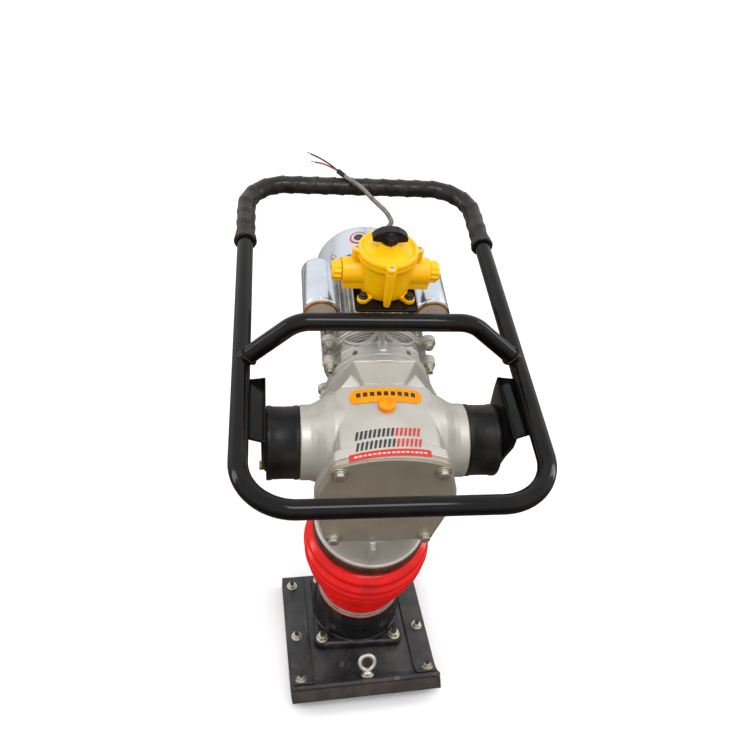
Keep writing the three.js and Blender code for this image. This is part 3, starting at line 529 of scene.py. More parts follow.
def bolt(across, washer, height, axis="z"):
    """Washer and hexagonal head with a shallow dished top, standing on zero."""
    corner = across / 2 / math.cos(math.pi / 6)
    head = hexagon(across, 1.6, height, axis)
    flange = turned([(0, 1.4), (corner + 0.8, 1.4), (corner + 0.8, 2.6), (corner - 0.4, 3.6), (0, 3.6)], axis,
                    40)
    return together(disc(washer, 0, 1.8, axis, edge=0.5), flange, head)


# --- camera, light and floor ----------------------------------------------------------------------
def add_camera():
    """The picture's viewpoint, above and in front of the machine with a slight roll."""
    yaw, pitch, roll = math.radians(9.67), math.radians(-35.26), math.radians(5.50)
    ahead = Vector((math.sin(yaw) * math.cos(pitch), math.cos(yaw) * math.cos(pitch), math.sin(pitch)))
    level = Vector((math.cos(yaw), -math.sin(yaw), 0))
    upward = level.cross(ahead)
    right = level * math.cos(roll) + upward * math.sin(roll)
    top = upward * math.cos(roll) - level * math.sin(roll)
    matrix = Matrix((right, top, -ahead)).transposed().to_4x4()
    matrix.translation = (-0.16982, -0.93732, 1.32756)
    camera = bpy.data.objects.new("camera", bpy.data.cameras.new("camera"))
    camera.matrix_world = matrix
    camera.data.sensor_width = 36
    camera.data.lens = 35.95
    camera.data.clip_start = 0.02
    bpy.context.scene.collection.objects.link(camera)
    bpy.context.scene.camera = camera


def add_area(name, place, aim, size, power, tint=(1, 1, 1)):
    light = bpy.data.lights.new(name, "AREA")
    light.shape = "RECTANGLE"
    light.size, light.size_y = size
    light.energy = power
    light.color = tint
    lamp = bpy.data.objects.new(name, light)
    lamp.location = place
    lamp.rotation_euler = (Vector(aim) - Vector(place)).to_track_quat("-Z", "Y").to_euler()
    bpy.context.scene.collection.objects.link(lamp)


def add_studio():
    world = bpy.data.worlds.new("studio")
    world.use_nodes = True
    nodes, links = world.node_tree.nodes, world.node_tree.links
    split = nodes.new("ShaderNodeSeparateXYZ")
    links.new(nodes.new("ShaderNodeTexCoord").outputs["Generated"], split.inputs["Vector"])
    height = nodes.new("ShaderNodeMapRange")
    height.inputs["From Min"].default_value = -1
    links.new(split.outputs["Z"], height.inputs["Value"])
    sky = nodes.new("ShaderNodeValToRGB")
    sky.color_ramp.elements[0].position = 0.25
    sky.color_ramp.elements[0].color = (0.16, 0.13, 0.11, 1)
    sky.color_ramp.elements[1].position = 0.62
    sky.color_ramp.elements[1].color = (1, 1, 1, 1)
    horizon = sky.color_ramp.elements.new(0.5)
    horizon.color = (0.6, 0.58, 0.56, 1)
    links.new(height.outputs["Result"], sky.inputs["Fac"])
    links.new(sky.outputs["Color"], nodes["Background"].inputs["Color"])
    nodes["Background"].inputs["Strength"].default_value = 1.12
    bpy.context.scene.world = world
    add_area("overhead", (0.1, -1.0, 2.5), (0, 0.1, 0.5), (0.9, 0.7), 15)
    add_area("left_wall", (-2.2, 0.2, 1.3), (0, 0.1, 0.5), (0.4, 2.0), 12)
    add_area("right_wall", (2.2, 0.3, 1.3), (0, 0.1, 0.5), (0.4, 2.0), 12)
    floor = raw_object("floor", block(-40000, 40000, -40000, 40000, -20, -0.2), GROUND)
    ground = Paint("pale_floor", (0.97, 0.97, 0.97, 1), 0.9, shine=0.1)
    ground.cloud((0.95, 0.95, 0.95, 1), 3).uneven(8, 0.05)
    floor.data.materials.append(ground.done())
    floor.visible_diffuse = False
    floor.visible_glossy = False
    bpy.context.scene.view_settings.view_transform = "Standard"


# --- cord -----------------------------------------------------------------------------------------
CORD_STOPS = [(3, 247, 776), (3, 264, 776), (5, 274, 777.5), (14, 287, 781), (24, 303, 783), (19, 337, 779),
              (11, 375, 767), (5, 430, 744), (0, 505, 711), (-13, 545, 699), (-27, 566, 696), (-40, 583, 697)]


def cord_line():
    """The cord's centreline in metres, from inside the gland to the cut end of its jacket."""
    return [LEG @ (p * MM) for p in smooth_route(CORD_STOPS, 12)]


def thread_wire(name, stops, radius, paint, bare):
    """One stripped core of the cord, with a few millimetres of bare strand at its tip."""
    route = smooth_route(stops, 4)
    core = piece(name, swept(route, radius, 14), LEG, paint, "handle")
    tip = route[-1]
    ahead = (route[-1] - route[-3]).normalized()
    strands = []
    for k in range(5):
        spread = Vector((math.cos(k * 1.3), math.sin(k * 1.3), math.cos(k * 2.1))) * 0.5
        strands.append(swept([tip - ahead * 2 + spread, tip + ahead * bare * 0.5 + spread * 0.7,
                              tip + ahead * bare + spread * 1.6], 0.45, 8))
    copper = piece(name + "_strands", together(*strands), LEG, "copper", "handle")
    return [core, copper]


def add_cord():
    line = cord_line()
    curve = bpy.data.curves.new("power_lead", "CURVE")
    curve.dimensions = "3D"
    curve.bevel_depth = CORD_RADIUS * MM
    curve.bevel_resolution = 5
    curve.use_fill_caps = True
    spline = curve.splines.new("POLY")
    spline.points.add(len(line) - 1)
    for target, point in zip(spline.points, line):
        target.co = (*point, 1)
    curve.materials.append(PAINTS["jacket"])
    lead = bpy.data.objects.new("power_lead", curve)
    bpy.context.scene.collection.objects.link(lead)
    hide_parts("power_cord")
    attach(lead, "handle")
    wraps = smooth_route(CORD_STOPS, 2)[-11:]
    tape = piece("end_tape", swept(wraps, lambda along, angle: 4.5 + 0.5 * ((along / 7 + angle / 6.283) % 1),
                                   28),
                 LEG, "black", "handle")
    end = CORD_STOPS[-1]
    wires = thread_wire("wire_black", [end, (-52, 599, 698.5), (-72, 620, 700), (-91, 636, 700)], 1.6,
                        "black", 9)
    wires += thread_wire("wire_red", [end, (-53, 594, 698), (-68, 602, 700), (-84, 607, 700)], 1.6,
                         "wire_red", 8)


# --- foot -----------------------------------------------------------------------------------------
def foot_line(height, run, rear):
    """One edge line of the foot's side view at a height above the sole, from the rear to the toe."""
    line = [(rear, height)]
    for k in range(TOE["steps"] + 1):
        turn = TOE["angle"] * k / TOE["steps"]
        y = TOE["start"] - TOE["radius"] * math.sin(turn) + height * math.sin(turn)
        line.append((y, TOE["radius"] * (1 - math.cos(turn)) + height * math.cos(turn)))
    y, z = line[-1]
    line.append((y - run * math.cos(TOE["angle"]), z + run * math.sin(TOE["angle"])))
    return line


def foot_layer(low, high, rear, run, x0, x1):
    return prism(foot_line(low, run, rear) + foot_line(high, run, rear)[::-1], x0, x1, "x")


def on_toe(y, height):
    """Height and tilt of the foot's surface at a distance y, for pieces that stand on it."""
    if y > TOE["start"]:
        return height, 0.0
    radius = TOE["radius"] - height
    turn = math.asin((TOE["start"] - y) / radius)
    return TOE["radius"] - radius * math.cos(turn), turn


def add_foot():
    half, pad, plate = SOLE["half"], SOLE["pad"], SOLE["plate"]
    piece("sole_block", foot_layer(0, pad, SOLE["rear"], TOE["run"], -half, half), FOOT, "pad",
          "ram", "sole_pad", edge=2.5)
    piece("sole_sheet", foot_layer(pad + 0.3, pad + 0.3 + plate, SOLE["rear"], TOE["run"], -half, half), FOOT,
          "foot", "ram", "sole_plate", edge=1.6)
    for side, name in SIDES:
        outer = side * (half - STRAP["inset"])
        inner = side * (half - STRAP["inset"] - STRAP["width"])
        strip = foot_layer(DECK, DECK + STRAP["thick"], STRAP["rear"], STRAP["run"], min(inner, outer),
                           max(inner, outer))
        piece("edge_strip_" + name, strip, FOOT, "foot", "ram", "strap_" + name, edge=1.4)
        for row, y in (("rear", 105), ("middle", -18.5), ("front", -119)):
            height, tilt = on_toe(y, DECK + STRAP["thick"] + 0.1)
            spot = (side * 122, y, height)
            piece(f"edge_nut_{row}_{name}", moved(nut(14, 10.5, 8.5), spot, -tilt, "X"), FOOT, "zinc", "ram",
                  crease=40)
            piece(f"edge_stud_{row}_{name}", moved(stud_end(8.5, 4.2, 5), spot, -tilt, "X"), FOOT,
                  "dark_steel", "ram", crease=40)
    add_lifting_eye()
    add_base()


def add_lifting_eye():
    """The eye bolt on the toe's curve, square to it."""
    tilt, radius, middle = EYE["tilt"], EYE["radius"], EYE["middle"]
    y = TOE["start"] - (TOE["radius"] - DECK) * math.sin(tilt)
    up = TOE["radius"] - (TOE["radius"] - DECK) * math.cos(tilt) + 2
    circle = [(radius * math.sin(a), 0, middle + radius * math.cos(a))
              for a in (2 * math.pi * k / 64 for k in range(64))]
    neck = turned([(0, 0), (12.5, 0), (12.5, 2.6), (11, 3.6), (8.5, 4.6), (6.4, 7), (5.2, 10), (5, 13),
                   (0, 13)])
    shape = together(swept(circle, EYE["wire"], 24, closed=True), neck)
    piece("lifting_ring", moved(shape, (EYE["x"], y, up), -tilt, "X"), FOOT, "zinc", "ram",
          "eye_bolt", cast=(0.7, 4))


def add_base():
    front, rear, half, thick = BASE["front"], BASE["rear"], BASE["half"], BASE["thick"]
    middle = (front + rear) / 2
    flange = prism(rounded_outline(0, middle, half, (rear - front) / 2, 14), DECK, DECK + thick)
    edge = prism(rounded_outline(0, middle, half - 5, (rear - front) / 2 - 5, 12), DECK + 2,
                 DECK + thick + 2.5)
    radius, bottom = DOME["radius"], DOME["bottom"]
    profile = [(0, bottom - 36), (radius, bottom - 36), (radius + 1, bottom + 22), (radius - 1, bottom + 40),
               (radius - 4, bottom + 56), (DOME["shoulder"] + 2, bottom + 70),
               (DOME["shoulder"], bottom + 76),
               (DOME["shoulder"], DOME["top"]), (0, DOME["top"])]
    lean = Matrix.Translation((0, ANKLE, 0)) @ LEAN
    dome = [lean @ p for p in turned(profile, "z", 96)[0]], turned(profile, "z", 96)[1]
    ribs = []
    for turn in (45, 135, 225, 315):
        rib = prism([(60, DECK), (106, DECK), (104, DECK + 20), (84, DECK + 58), (60, DECK + 60)], -5, 5, "y")
        ribs.append(moved(rib, (0, middle, 0), math.radians(turn)))
    pads = [moved(disc(17, DECK, DECK + thick + 0.2), (sx * BASE["bolt_x"], y, 0)) for sx in (-1, 1)
            for y in BASE["bolts"]]
    cuts = [moved(disc(14, DECK + thick, DECK + 90, segments=40), (sx * BASE["bolt_x"], y, 0))
            for sx in (-1, 1) for y in BASE["bolts"]]
    bore = disc(53, 96, 400, segments=72)
    cuts.append(([lean @ p for p in bore[0]], bore[1]))
    for turn in (0, 90, 180, 270):
        dimple = moved(disc(13, 81, 110, "y", segments=36), (0, 0, 104))
        tilt = lean @ Matrix.Rotation(math.radians(turn), 4, "Z")
        cuts.append(([tilt @ p for p in dimple[0]], dimple[1]))
    piece("foot_dome", together(flange, edge, dome, *ribs, *pads), GROUND, "casting", "ram",
          "base_casting", cast=(1.5, 5), cuts=together(*cuts))
    for side, name in SIDES:
        for row, y in zip(("front", "rear"), BASE["bolts"]):
            place = Matrix.Translation((side * BASE["bolt_x"] * MM, y * MM, (DECK + thick + 0.3) * MM))
            node = f"base_nut_{row}_{name}"
            piece("stud_nut_" + row + "_" + name, nut(17, 12, 11), place, "zinc", "ram", node,
                  crease=40)
            piece("stud_end_" + row + "_" + name, stud_end(11, 5, 7), place, "dark_steel", "ram",
                  crease=40)


# --- bellows and leg ------------------------------------------------------------------------------
def add_bellows():
    bottom, top, folds = BELLOWS["bottom"], BELLOWS["top"], BELLOWS["folds"]
    low, high = bottom + 24, top - 27
    outer = [(80.4, bottom), (80.8, bottom + 3), (78.6, bottom + 4.5), (78.5, low - 4)]
    pitch = (high - low) / folds
    steps = 16
    for fold in range(folds):
        t = (fold + 0.5) / folds
        swell = math.sin(min(t / 0.8, 1) * math.pi / 2) ** 1.6
        crest = 84 + 29 * swell - 5 * max(0, t - 0.78) / 0.22 - (2.5 if fold < 2 else 0)
        for k in range(steps):
            u = 2 * k / steps - 1
            outer.append((crest - (7 + 5 * swell) * abs(u) ** 2, low + pitch * (fold + k / steps)))
    outer += [(96.2, high), (96.4, top - 2), (95.8, top)]
    inner = [(r - 2.6, h) for r, h in outer][::-1]
    shape = piece("red_bellows", turned(outer + inner + outer[:1], "z", 128), LEG, "red", None,
                  "bellows", crease=60)
    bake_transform(shape)


def add_band(name, node, body, inner, low, high, turn, paint):
    """A clamp band with rolled edges and a screw housing."""
    rim = [(inner, low), (inner + 1.9, low), (inner + 2.1, low + 1), (inner + 1.5, low + 2),
           (inner + 1.5, high - 2),
           (inner + 2.1, high - 1), (inner + 1.9, high), (inner, high), (inner, low)]
    middle = (low + high) / 2
    housing = block(inner + 1.2, inner + 9, -11, 11, middle - 5, middle + 5)
    screw = moved(hexagon(8, -21, 17, "y"), (inner + 6, 0, middle))
    slots = [block(inner + 1.2, inner + 2.3, 14 + 4 * k, 15.6 + 4 * k, middle - 5, middle + 5)
             for k in range(5)]
    fitting = moved(together(housing, screw, *slots), turn=math.radians(turn))
    piece(name, together(turned(rim, "z", 120), fitting), LEG, paint, body, node, edge=0.4)


def add_springs():
    """Coil springs inside the tube, which the ram's stroke stretches in the machine; here they keep one
    length and do not follow the piston.
    """
    for name, node, bodies, low, high, turns in (
            ("lower_coil", "spring_lower", ("ram", "crankcase"), 96.5, 225.7, 4),
            ("upper_coil", "spring_upper", ("crankcase", "ram"), 240.3, 352, 3)):
        steps = turns * 30
        rise = (high - low - 2 * COIL["wire"]) / steps
        route = [polar(COIL["radius"], 360 * turns * k / steps, low + COIL["wire"] + rise * k)
                 for k in range(steps + 1)]
        coil = piece(name, swept(route, COIL["wire"], 16), LEG, "spring", None, node)
        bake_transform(coil)


# --- gearbox --------------------------------------------------------------------------------------
def arch(x, inset=0.0):
    """Height of the gearbox's arched top at a distance x from its middle."""
    return ARCH["centre"] + math.sqrt((ARCH["radius"] - inset) ** 2 - x * x)


def arched_slab(half, low, front, back, inset=0.0):
    """A slab across the machine with rounded lower corners and the arched top."""
    side, corner = half - inset, 15 - inset
    right = [(side - corner + corner * math.cos(a), low + 15 + corner * math.sin(a))
             for a in (math.radians(270 + 90 * k / 8) for k in range(9))]
    if half > COVER["waist"] - 20:
        right += [(COVER["waist"] - inset, CASE["centre"] - 27), (COVER["waist"] - inset,
                                                                  CASE["centre"] + 27)]
    right += [(side, arch(half) - 16), (side - 0.8, arch(half) - 10), (side - 3, arch(half) - 5),
              (side - 7, arch(side - 7, inset) - 1)]
    right += [(side - 10 - 4 * k, arch(side - 10 - 4 * k, inset)) for k in range(int((side - 10) / 4) + 1)]
    left = [(-u, v) for u, v in reversed(right) if u > 0.5]
    return prism(right + left, front, back, "y")


def cover_outline(low, high, inset=0.0):
    plate = arched_slab(COVER["half"], COVER["low"], low, high, inset)
    round_part = moved(disc(CASE["radius"] - inset, low, high, "y", segments=120), (0, 0, CASE["centre"]))
    return together(plate, round_part)


def wedge_block(corners, low):
    """A triangular facet carried straight down to a level."""
    points = [Vector(c) for c in corners] + [Vector((c[0], c[1], low)) for c in corners]
    return points, [[0, 1, 2], [3, 4, 5], [0, 1, 4, 3], [1, 2, 5, 4], [2, 0, 3, 5]]


def add_crankcase():
    back, up = TRUNNION["back"], TRUNNION["up"]
    reach, boss = CASE["reach"], CASE["boss"]
    half = [(0, 0), (76, 0), (75, 78), (70, 90), (61, 104), (boss, 112), (boss, reach - 1), (boss - 1, reach),
            (0, reach)]
    trunnions = [moved(turned(half, "x", 96), (0, back, up)),
                 moved(turned([(r, -h) for r, h in half], "x", 96), (0, back, up))]
    drum = moved(disc(103, -66, 20, "y", edge=3, segments=120), (0, 0, CASE["centre"]))
    ears = cover_outline(CASE["front"], -56)
    body = arched_slab(81, 450, -66, 56, 0.5)
    skirt = turned([(0, 340), (93.1, 340), (93.1, 375.3), (97.3, 375.6), (97.3, 381.6), (94, 382), (91, 392),
                    (88, 420),
                    (86, 448), (86, 480), (0, 480)], "z", 120)
    neck = moved(disc(84, 78, 92, "y", edge=1.2, segments=96), (0, 0, MOTOR["up"]))
    cone = moved(turned([(0, 40), (31, 40), (97, 80), (0, 80)], "y", 6), (0, 0, MOTOR["up"]))
    wedges = [wedge_block([(side * 76, 50, 647), (side * 25.5, 57.5, 657), (side * 51, 72, 668)], 600)
              for side in (LEFT, RIGHT)]
    gusset = prism([(-64, 560), (64, 560), (60, 642), (-60, 642)], 50, 82, "y")
    rib = block(-13.5, -5, -100, -60, 408, 443)
    cuts = together(disc(66, 320, 488, segments=80), block(-150, 150, -150, -73, 443.5, 700))
    piece("gear_case", together(*trunnions, drum, ears, body, skirt, neck, cone, gusset, rib, *wedges), LEG,
          "cast", "crankcase", "crankcase", cast=(1.3, 2), cuts=cuts)


def add_front_cover():
    front, back = COVER["front"], COVER["back"]
    shape = together(cover_outline(front + 2.5, back), cover_outline(front, back, 3))
    # The cover takes the darker, browner cast paint, which holds painted shade for its down-facing front.
    piece("gear_cover", shape, LEG, "cover", "crankcase", "front_cover", cast=(1.2, 3))
    for row, (x, up) in zip(("upper", "lower"), COVER_BOLTS):
        for side, name in SIDES:
            head = moved(bolt(15, 12.5, 10), (side * x, front - 0.2, up), QUARTER, "X")
            piece(f"cover_screw_{row}_{name}", head, LEG, "zinc", "crankcase",
                  f"cover_bolt_{row}_{name}", edge=0.3, crease=40)


def on_arch(u, v, lift):
    """A point on the gearbox's top: u round it from the middle, v backwards, lift above it."""
    radius = ARCH["radius"] + lift
    angle = u / ARCH["radius"]
    return Vector((radius * math.sin(angle), v, ARCH["centre"] + radius * math.cos(angle)))


def arch_film(name, outlines, thick, paint, base=0.2):
    """Thin films of flat outlines, wrapped on the gearbox's top."""
    work = bmesh.new()
    flat = [work.faces.new([work.verts.new((u, v, 0)) for u, v in outline]) for outline in outlines]
    result = bmesh.ops.extrude_face_region(work, geom=flat)
    lifted = [v for v in result["geom"] if isinstance(v, bmesh.types.BMVert)]
    bmesh.ops.translate(work, verts=lifted, vec=(0, 0, thick))
    low, high = min(v.co.x for v in work.verts), max(v.co.x for v in work.verts)
    count = int((high - low) / 4)
    for k in range(1, count):
        cut_at = low + (high - low) * k / count
        geometry = work.verts[:] + work.edges[:] + work.faces[:]
        bmesh.ops.bisect_plane(work, geom=geometry, plane_co=(cut_at, 0, 0), plane_no=(1, 0, 0))
    for vertex in work.verts:
        vertex.co = LEG @ (on_arch(vertex.co.x, vertex.co.y, base + vertex.co.z) * MM)
    bmesh.ops.recalc_face_normals(work, faces=work.faces)
    mesh = bpy.data.meshes.new(name)
    work.to_mesh(mesh)
    work.free()
    obj = bpy.data.objects.new(name, mesh)
    bpy.context.scene.collection.objects.link(obj)
    mesh.shade_smooth()
    mesh.set_sharp_from_angle(angle=math.radians(35))
    mesh.materials.append(PAINTS[paint])
    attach(obj, "crankcase")
    return obj


def slanted(outline, slope):
    """Turn a flat outline slightly: further back towards the right."""
    return [(u, v + slope * u) for u, v in outline]


def hatch_bar(u, v, width, height, lean):
    half, rise = width / 2, height / 2
    return [(u - half - lean, v - rise), (u + half - lean, v - rise), (u + half + lean, v + rise),
            (u - half + lean, v + rise)]


def add_labels():
    """Plain films in place of the machine's stickers: an orange strip and rows of hatch bars."""
    arch_film("oil_label", [rounded_outline(0, 33, 56, 13.5, 12.6)], 0.4, "label")
    marks = [rounded_outline((k - 4) * 10.4, 35.5, 3.4, 4.2, 1.2) for k in range(9)]
    arch_film("oil_label_marks", marks, 0.15, "print_dark", base=0.6)
    for name, first, last, paint in (("dark", 0, 9, "print_dark"), ("red", 9, 15, "print_red")):
        bars = [slanted(hatch_bar(-50 + k * 6.5, v, 3.6, 14, 1.6), 0.05) for v in (-37, -56.5)
                for k in range(first, last)]
        arch_film("panel_bars_" + name, bars, 0.15, paint)
    strip = slanted(rounded_outline(-4, -73.5, 60, 6, 2), 0.042)
    arch_film("panel_strip", [strip], 0.25, "print_red")
    dashes = [slanted(rounded_outline(-54 + k * 6.7, -73.5, 2.4, 1.4, 0.6), 0.042) for k in range(16)]
    arch_film("panel_dashes", dashes, 0.1, "print_pale", base=0.45)


def add_oil_plug():
    x, back = OIL
    top = ARCH["centre"] + ARCH["radius"] - 2.7
    profile = [(0, 2), (13.4, 2), (13.4, 4), (12.6, 4.4), (12.6, 8.6), (11.8, 9.8), (9.5, 10.4), (0, 10.2)]
    head = turned(profile, "z", 64)
    grips = [moved(disc(0.9, 4.6, 8.6, segments=10), polar(12.5, 360 * k / 22)) for k in range(22)]
    stem = disc(7.4, -16, 4)
    piece("filler_plug", moved(together(head, stem, *grips), (x, back, top)), LEG, "orange", "crankcase",
          "oil_plug", edge=0.4, crease=40)


# --- motor ----------------------------------------------------------------------------------------
def round_motor(radius, degrees, back):
    """A point round the motor's axis: degrees from the top, towards +X."""
    angle = math.radians(degrees)
    return Vector((radius * math.sin(angle), back, MOTOR["up"] + radius * math.cos(angle)))


def scallop(degrees):
    """How far back the bracket's scalloped edge lies, at an angle from its top."""
    return 146 - 26 * abs(math.sin(math.pi * degrees / 44))


def apron(top):
    """The raised skin of the bracket ahead of its scalloped edge."""
    angles = range(-50, 51, 2)
    points, faces = [], []
    for degrees in angles:
        points += [round_motor(r, top + degrees, back) for r, back in
                   ((66, 104), (82, 104), (82, scallop(degrees)), (66, scallop(degrees)))]
    for k in range(len(angles) - 1):
        faces += [[4 * k + c, 4 * k + (c + 1) % 4, 4 * k + 4 + (c + 1) % 4, 4 * k + 4 + c] for c in range(4)]
    return points, faces + [[0, 1, 2, 3], [len(points) - 4 + c for c in range(4)]]


def add_adapter():
    up = MOTOR["up"]
    hub = turned([(0, 92.3), (83, 92.3), (84, 93.3), (84, 102), (83, 103), (73, 106), (74, 130), (75, 146),
                  (83, 148),
                  (84, 151.6), (0, 151.6)], "y", 96)
    parts = [moved(hub, (0, 0, up))]
    for sx in (LEFT, RIGHT):
        for su in (-1, 1):
            for x, rise, radius, low, high in ((79, 41, 10.5, 108, 124), (80, 57, 12, 140, 151.6)):
                parts.append(moved(disc(radius, low, high, "y", edge=1), (sx * x, 0, up + su * rise)))
                reach = math.hypot(x, rise)
                web = block(20, reach, low, high, -0.8 * radius, 0.8 * radius)
                parts.append(moved(web, (0, 0, up), -math.atan2(su * rise, sx * x), "Y"))
    parts.append(moved(block(-4.5, 4.5, 100, 151, 60, 86), (0, 0, up)))
    for top in (0, 180):
        parts.append(apron(top))
        for side in (LEFT, RIGHT):
            line = [round_motor(84, top + side * degrees, scallop(degrees)) for degrees in range(1, 48, 2)]
            parts.append(swept(smooth_route(line, 3), 3.2, 14))
        lip = [round_motor(82, top + degrees, 120 + abs(degrees) * 0.05) for degrees in range(-48, 49, 6)]
        parts.append(swept(smooth_route(lip, 4), 1.8, 12))
    cuts = [disc(26.3, 80, 200, "y", segments=48), disc(66, 112, 200, "y", segments=72)]
    cuts = [moved(c, (0, 0, up)) for c in cuts]
    cuts += [moved(disc(4.6, 60, 90, segments=24), (0, 108, up), math.radians(side * 31), "Y")
             for side in (LEFT, RIGHT)]
    piece("motor_bracket", together(*parts), LEG, "cast", "crankcase", "motor_adapter",
          cast=(1.2, 3), cuts=together(*cuts))
    fins = [moved(ring(70, 79.5, back, back + 2.2, "y", 96), (0, 0, up)) for back in (134, 139.5, 145)]
    piece("bracket_fins", together(*fins), LEG, "cast", "crankcase", edge=0.5)
    for sx, side in SIDES:
        for su, row in ((-1, "lower"), (1, "upper")):
            socket = together(bolt(12, 9, 8), ring(2.6, 4.6, 6, 15, segments=28))
            fixing = moved(socket, (sx * 79, 107.8, up + su * 41), QUARTER, "X")
            piece(f"bracket_bolt_{row}_{side}", fixing, LEG, "zinc", "crankcase", edge=0.25,
                  crease=40)
            rear = moved(bolt(13, 10, 9), (sx * 80, 139.8, up + su * 57), QUARTER, "X")
            piece(f"motor_bolt_{row}_{side}", rear, LEG, "zinc", "crankcase", edge=0.25, crease=40)


def add_motor_body():
    front, back, up = MOTOR["front"], MOTOR["back"], MOTOR["up"]
    outline = []
    count = MOTOR["fins"]
    for k in range(count):
        for share, radius in ((0.0, 77), (0.5, 77), (0.58, 79), (0.64, 86), (0.69, 87), (0.78, 87),
                              (0.83, 86),
                              (0.92, 79)):
            angle = 2 * math.pi * (k + share) / count
            outline.append((radius * math.cos(angle), radius * math.sin(angle)))
    shell = moved(prism(outline, front + 6, back - 6, "y"), (0, 0, up))
    rings = [moved(disc(85, low, low + 9, "y", edge=1.2, segments=96), (0, 0, up))
             for low in (front, back - 9)]
    piece("motor_casing", together(shell, *rings), LEG, "fins", "crankcase", "motor_body",
          edge=0.5)
    for side, name in SIDES:
        turn = -math.atan2(CAPACITOR["up"] - up, side * CAPACITOR["x"])
        foot = moved(block(76, 96, 214, 276, -12, 12), (0, 0, up), turn, "Y")
        piece("capacitor_foot_" + name, foot, LEG, "fins", "crankcase", edge=0.4)


def add_fan_end():
    up, r, front, back = MOTOR["up"], FAN["radius"], FAN["front"], FAN["back"]
    bell = turned([(16, 330.3), (84, 330.3), (85, 331.2), (85, 335.4), (82, 338), (70, 344), (16, 344),
                   (16, 330.3)], "y")
    piece("end_bell", moved(bell, (0, 0, up)), LEG, "satin", "crankcase", "rear_bell",
          edge=0.6)
    outer = [(r, front), (r + 0.8, front + 1.2), (r, front + 2.6), (r, back - 14), (r - 0.9, back - 9),
             (r - 3.4, back - 4.6), (r - 7, back - 1.6), (r - 12, back), (30, back)]
    inner = [(30, back - 2), (r - 12.5, back - 2), (r - 8.4, back - 3.4), (r - 5, back - 6.2),
             (r - 2.8, back - 10),
             (r - 2, back - 14), (r - 2, front)]
    shell = turned(outer + inner + outer[:1], "y", 128)
    grille = [ring(radius, radius + 3, back - 2.2, back - 0.4, "y", 64) for radius in (12, 21)]
    spokes = [moved(block(-2, 2, back - 2.2, back - 0.4, 6, 33), turn=k * math.pi / 4, axis="Y")
              for k in range(8)]
    boss = disc(8, back - 2.4, back, "y", edge=0.6)
    cowl = together(shell, boss, *grille, *spokes)
    piece("fan_cowl", moved(cowl, (0, 0, up)), LEG, "cowl", "crankcase", "fan_cover", edge=0.3)
    for k, degrees in enumerate((45, 135, 225, 315)):
        head = moved(bolt(7, 5.5, 3.6), round_motor(r + 0.1, degrees, front + 14), math.radians(degrees), "Y")
        piece(f"cowl_screw_{k}", head, LEG, "zinc", "crankcase", edge=0.2)
    layers = (("badge_plate", 16, 0.2, 0.9, "print_red"), ("badge_ring", 13, 0.9, 1.15, "cowl"),
              ("badge_centre", 8.5, 1.15, 1.35, "print_dark"))
    for name, radius, low, high, paint in layers:
        plate = disc(radius, low, high, segments=56)
        points = []
        for p in plate[0]:
            points.append(round_motor(r + p.z, math.degrees((p.x - 16) / r), 378 + p.y))
        piece(name, (points, plate[1]), LEG, paint, "crankcase")


def add_capacitors():
    r, front, back, up = CAPACITOR["radius"], CAPACITOR["front"], CAPACITOR["back"], CAPACITOR["up"]
    for side, name in SIDES:
        x = side * CAPACITOR["x"]
        can = turned([(0, front), (r - 1, front), (r, front + 1), (r, front + 5), (r - 0.9, front + 6.4),
                      (r, front + 8),
                      (r, back - 6), (r - 0.6, back - 3), (r - 2.4, back - 0.8), (r - 5, back), (0, back)],
                     "y", 96)
        piece("can_" + name, moved(can, (x, 0, up)), LEG, "can", "crankcase",
              "capacitor_" + name)
        rim = turned([(r - 3.5, front - 3.4), (r - 0.4, front - 3.6), (r, front - 3), (r, front - 0.4),
                      (r - 3.5, front - 0.4),
                      (r - 3.5, front - 3.4)], "y", 96)
        piece("can_rim_" + name, moved(rim, (x, 0, up)), LEG, "cap_rim", "crankcase",
              crease=40)
        face = together(disc(r - 3.6, front - 2.6, front - 0.4, "y", edge=0.8, segments=72),
                        disc(6, front - 4, front - 2, "y", edge=0.6))
        piece("can_face_" + name, moved(face, (x, 0, up)), LEG, "cap_face", "crankcase",
              "capacitor_cap_" + name)


# --- handle ---------------------------------------------------------------------------------------
def loop_half(end, start, spacing):
    x, up = HANDLE["half"], HANDLE["up"]
    corners = [(-x, start, up), (-x, end, up), (x, end, up), (x, start, up)]
    return rounded_route(corners, HANDLE["bend"], 28, spacing)


def weld(name, centre, normal, radius):
    """A rippled weld bead round a joint."""
    normal = Vector(normal).normalized()
    side = normal.orthogonal().normalized()
    other = normal.cross(side)
    route = []
    for k in range(90):
        angle = 2 * math.pi * k / 90
        route.append(Vector(centre) + (side * math.cos(angle) + other * math.sin(angle)) * radius)
    bead = swept(route, lambda along, angle: 2.3 + 0.45 * math.sin(along * 2.2) + 0.3
                 * math.sin(along * 0.37), 12, True)
    piece(name, bead, LEG, "enamel", "handle")


